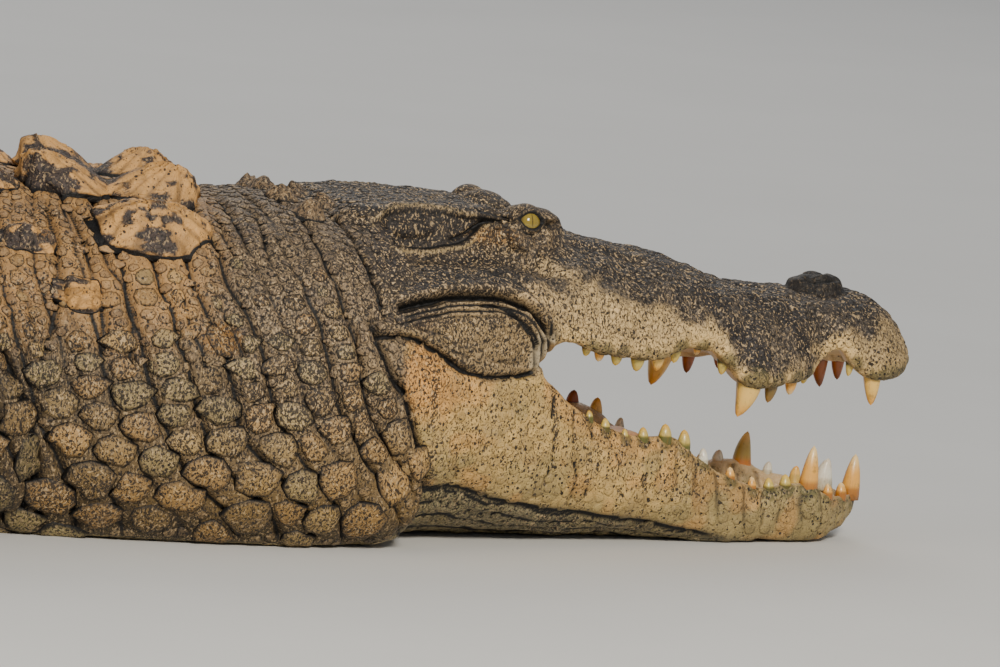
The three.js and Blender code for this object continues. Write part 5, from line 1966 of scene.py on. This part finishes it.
def add_teeth(name, rows, tints, half_width, lip, inset, way):
    parts, tone = [], []
    for side in (1, -1):
        for (station, length, *rest), tint in zip(rows, tints[side]):
            row = (station, length * WORN.get((way, side, station), 1.0), *rest)
            points, faces, share = tooth_form(row, side, half_width, lip, inset, way)
            parts.append((points, faces))
            tone.append(tooth_tone(share, tint))
    piece(name, *joined(*parts), enamel, "tooth", tones=np.concatenate(tone))


add_teeth("teeth_upper", UPPER_TEETH, UPPER_TINTS, jaw_half_width, upper_lip, 13, -1)
add_teeth("teeth_lower", LOWER_TEETH, LOWER_TINTS, lower_jaw_half_width, lower_lip, 8, 1)


def lining_material():
    g = Graph("mouth_lining")
    wide, fine = g.noise(70, 4.0, 0.6), g.noise(420, 3.0, 0.6)
    g.set(Base_Color=g.layered(rgb(204, 162, 110),
                               (g.step(wide, 0.35, 0.7), rgb(204, 146, 104)),
                               (g.times(g.step(fine, 0.55, 0.75), 0.4), rgb(150, 96, 62))),
          Roughness=g.plus(0.28, g.times(fine, 0.25)), Subsurface_Weight=0.15, Subsurface_Scale=0.004)
    g.bump(g.plus(wide, g.times(fine, 0.6)), 0.0012, 0.8)
    return g.material


def add_tongue():
    turn = turns(48)
    c, d = np.cos(turn), np.sin(turn)
    rings = []
    for s in np.linspace(1133, 1380, 50):
        half = lower_jaw_half_width(s) * 0.5 * ramp(1392, 1330, s)
        rise = 15 * band(s, 1110, 1150, 1340, 1392)
        floor = lower_lip(s) - min(0.42 * (lower_lip(s) - jaw_bottom(s)), 22)
        furrow = 1.2 * bell(c, 0.12) * (d > 0)
        z = floor + rise * d * np.where(d > 0, 1, 0.4) - furrow
        rings.append(np.stack([np.full(len(turn), s), half * c, z], 1))
    points, faces = loft(np.array(rings))
    points[:, 2] += 0.8 * cloud(points, 12, 95)
    piece("tongue_flesh", points, faces, lining_material(), "mouth_lining", ("tongue",))


def claw_material():
    g = Graph("claw_horn")
    streak = g.noise(1.0, 3.0, 0.6, g.stretched((500, 500, 120)))
    g.set(Base_Color=g.layered(rgb(44, 38, 34), (g.step(streak, 0.35, 0.7), rgb(98, 82, 62))),
          Roughness=g.plus(0.3, g.times(streak, 0.25)))
    g.bump(streak, 0.0004, 0.6)
    return g.material


def claw_form(leg, toe):
    """A curved claw that grows from the front of a toe and touches the floor."""
    root, way, reach, length = toe
    base = root + way * (reach - 6)
    base[2] = 0.62 * leg["toe_radius"]
    tip = base + way * (0.3 * length + 14)
    tip[2] = 2.5
    turn = turns(14)[:, None]
    rings = []
    for t in np.linspace(0, 0.99, 12):
        centre = base + (tip - base) * t + UP * 5 * 4 * t * (1 - t) * 0.8
        size = 0.46 * leg["toe_radius"] * (1 - t ** 1.6) ** 0.8 + 0.15
        rings.append(centre + size * (0.8 * np.cos(turn) * np.cross(UP, way) + np.sin(turn) * UP))
    points, faces = loft(np.array(rings))
    points[:, 2] = np.maximum(points[:, 2], 0.3)
    return points, faces


def add_claws():
    horn = claw_material()
    for label, side in (("left", 1), ("right", -1)):
        for foot, leg in (("forefoot", LEGS["fore"]), ("hindfoot", LEGS["hind"])):
            for number, toe in enumerate(foot_layout(leg, side)[3][:CLAWED], 1):
                node = f"{foot}_{label}_claw_{number}"
                piece(node + "_horn", *claw_form(leg, toe), horn, "claw", (node,))


def eye_material():
    g = Graph("eye_gloss")
    g.set(Base_Color=g.attribute("tone"), Roughness=0.14, Coat_Weight=0.4, Coat_Roughness=0.05,
          Specular_IOR_Level=0.5)
    return g.material


def eye_tones(a, b, polar, facing):
    """Streaked iris, slit pupil and dark edge, from places across and along the opening."""
    angle = np.arctan2(b, a)
    streak = 0.5 + 0.5 * np.sin(angle * 41 + 3 * np.sin(angle * 7))
    pupil = ramp(1.2, 0.7, np.hypot(a / 0.045, b / 0.40)) * (facing > 0)
    return layered(np.tile(rgb(150, 128, 48), (len(a), 1)),
                   (rgb(112, 94, 34), streak * 0.6),
                   (rgb(84, 66, 26), ramp(0.40, 0.70, polar)),
                   (rgb(44, 34, 14), 0.75 * pupil),
                   (rgb(60, 46, 26), ramp(0.72, 0.86, polar)))


def add_eyes():
    """Yellow-olive eyeballs with a slit pupil, each looking out of its lids' opening."""
    gloss = eye_material()
    u = np.linspace(0, 2 * np.pi, 96, endpoint=False)[:, None]
    for label, side in (("left", 1), ("right", -1)):
        centre = np.array([EYE["s"], side * EYE["y"], EYE["z"]])
        out = unit(EYE_WAY * [1, side, 1])
        forward = unit(np.cross(out, UP) * side)
        up = np.cross(forward, out) * side
        rings = []
        for polar in np.linspace(0.01, np.pi - 0.01, 64):
            bulge = 1 + 0.045 * ramp(0.65, 0.2, polar)
            ring = math.sin(polar) * (np.cos(u) * forward + np.sin(u) * up) + math.cos(polar) * out
            rings.append(centre + EYE["radius"] * bulge * ring)
        points, faces = loft(np.array(rings)[::-side])
        way = (points - centre) / EYE["radius"]
        facing = way @ out
        tones = eye_tones(way @ forward, way @ up, np.arccos(clamp(facing, -1, 1)), facing)
        piece(f"eyeball_{label}", points, faces, gloss, "eye", (f"eye_{label}",), tones)


add_tongue()
add_claws()
add_eyes()

# ---------------------------------------------------------------- camera, light and floor

VIEW_TARGET = (1.07823, 0.19850, 0.16921)
VIEW_DOWN = math.radians(7.5)
VIEW_ROLL = math.radians(5.3)
VIEW_DISTANCE = 12.0
VIEW_WIDTH = 0.9                 # metres across the picture at the target
SENSOR = 36.0


def add_camera():
    forward = Vector((0, math.cos(VIEW_DOWN), -math.sin(VIEW_DOWN)))
    up = Vector((0, math.sin(VIEW_DOWN), math.cos(VIEW_DOWN)))
    right = Vector((1, 0, 0))
    rolled_right = right * math.cos(VIEW_ROLL) + up * math.sin(VIEW_ROLL)
    rolled_up = up * math.cos(VIEW_ROLL) - right * math.sin(VIEW_ROLL)
    camera = add_object("camera", bpy.data.cameras.new("camera"))
    camera.data.sensor_width = SENSOR
    camera.data.lens = SENSOR * VIEW_DISTANCE / VIEW_WIDTH
    camera.data.clip_end = 100
    turn = Matrix((rolled_right, rolled_up, -forward)).transposed().to_4x4()
    place = Vector(VIEW_TARGET) - forward * VIEW_DISTANCE
    camera.matrix_world = Matrix.Translation(place) @ turn
    bpy.context.scene.camera = camera


def add_light(name, place, aim, power, size, colour):
    lamp = add_object(name, bpy.data.lights.new(name, "AREA"))
    lamp.data.energy = power
    lamp.data.size = size
    lamp.data.color = colour
    turn = (Vector(aim) - Vector(place)).to_track_quat("-Z", "Y")
    lamp.matrix_world = Matrix.Translation(place) @ turn.to_matrix().to_4x4()


def add_floor():
    g = Graph("studio_floor")
    tint = g.layered(rgb(206, 204, 200), (g.noise(3.0, 4.0, 0.6), rgb(214, 212, 208)))
    g.set(Base_Color=tint, Roughness=0.85)
    corners = np.array([(-30, -30, 0), (30, -30, 0), (30, 60, 0), (-30, 60, 0)])
    mesh = build_mesh("studio_floor", corners, [[0, 1, 2, 3]])
    mesh.materials.append(g.material)
    add_object("studio_floor", mesh)


def add_world():
    world = bpy.data.worlds.new("studio")
    world.use_nodes = True
    background = world.node_tree.nodes["Background"]
    background.inputs["Color"].default_value = (0.80, 0.85, 0.92, 1)
    background.inputs["Strength"].default_value = 0.40
    bpy.context.scene.world = world


add_camera()
add_light("key", (2.6, -4.2, 3.4), (0.9, 0.1, 0.1), 300, 1.1, (1.0, 0.95, 0.84))
add_light("fill", (-3.5, -3.0, 2.0), (0.6, 0.1, 0.1), 50, 3.0, (0.96, 0.97, 1.0))
add_light("back", (0.5, 4.5, 3.5), (0.5, 0.2, 0.2), 70, 3.0, (1.0, 0.98, 0.95))
add_floor()
add_world()
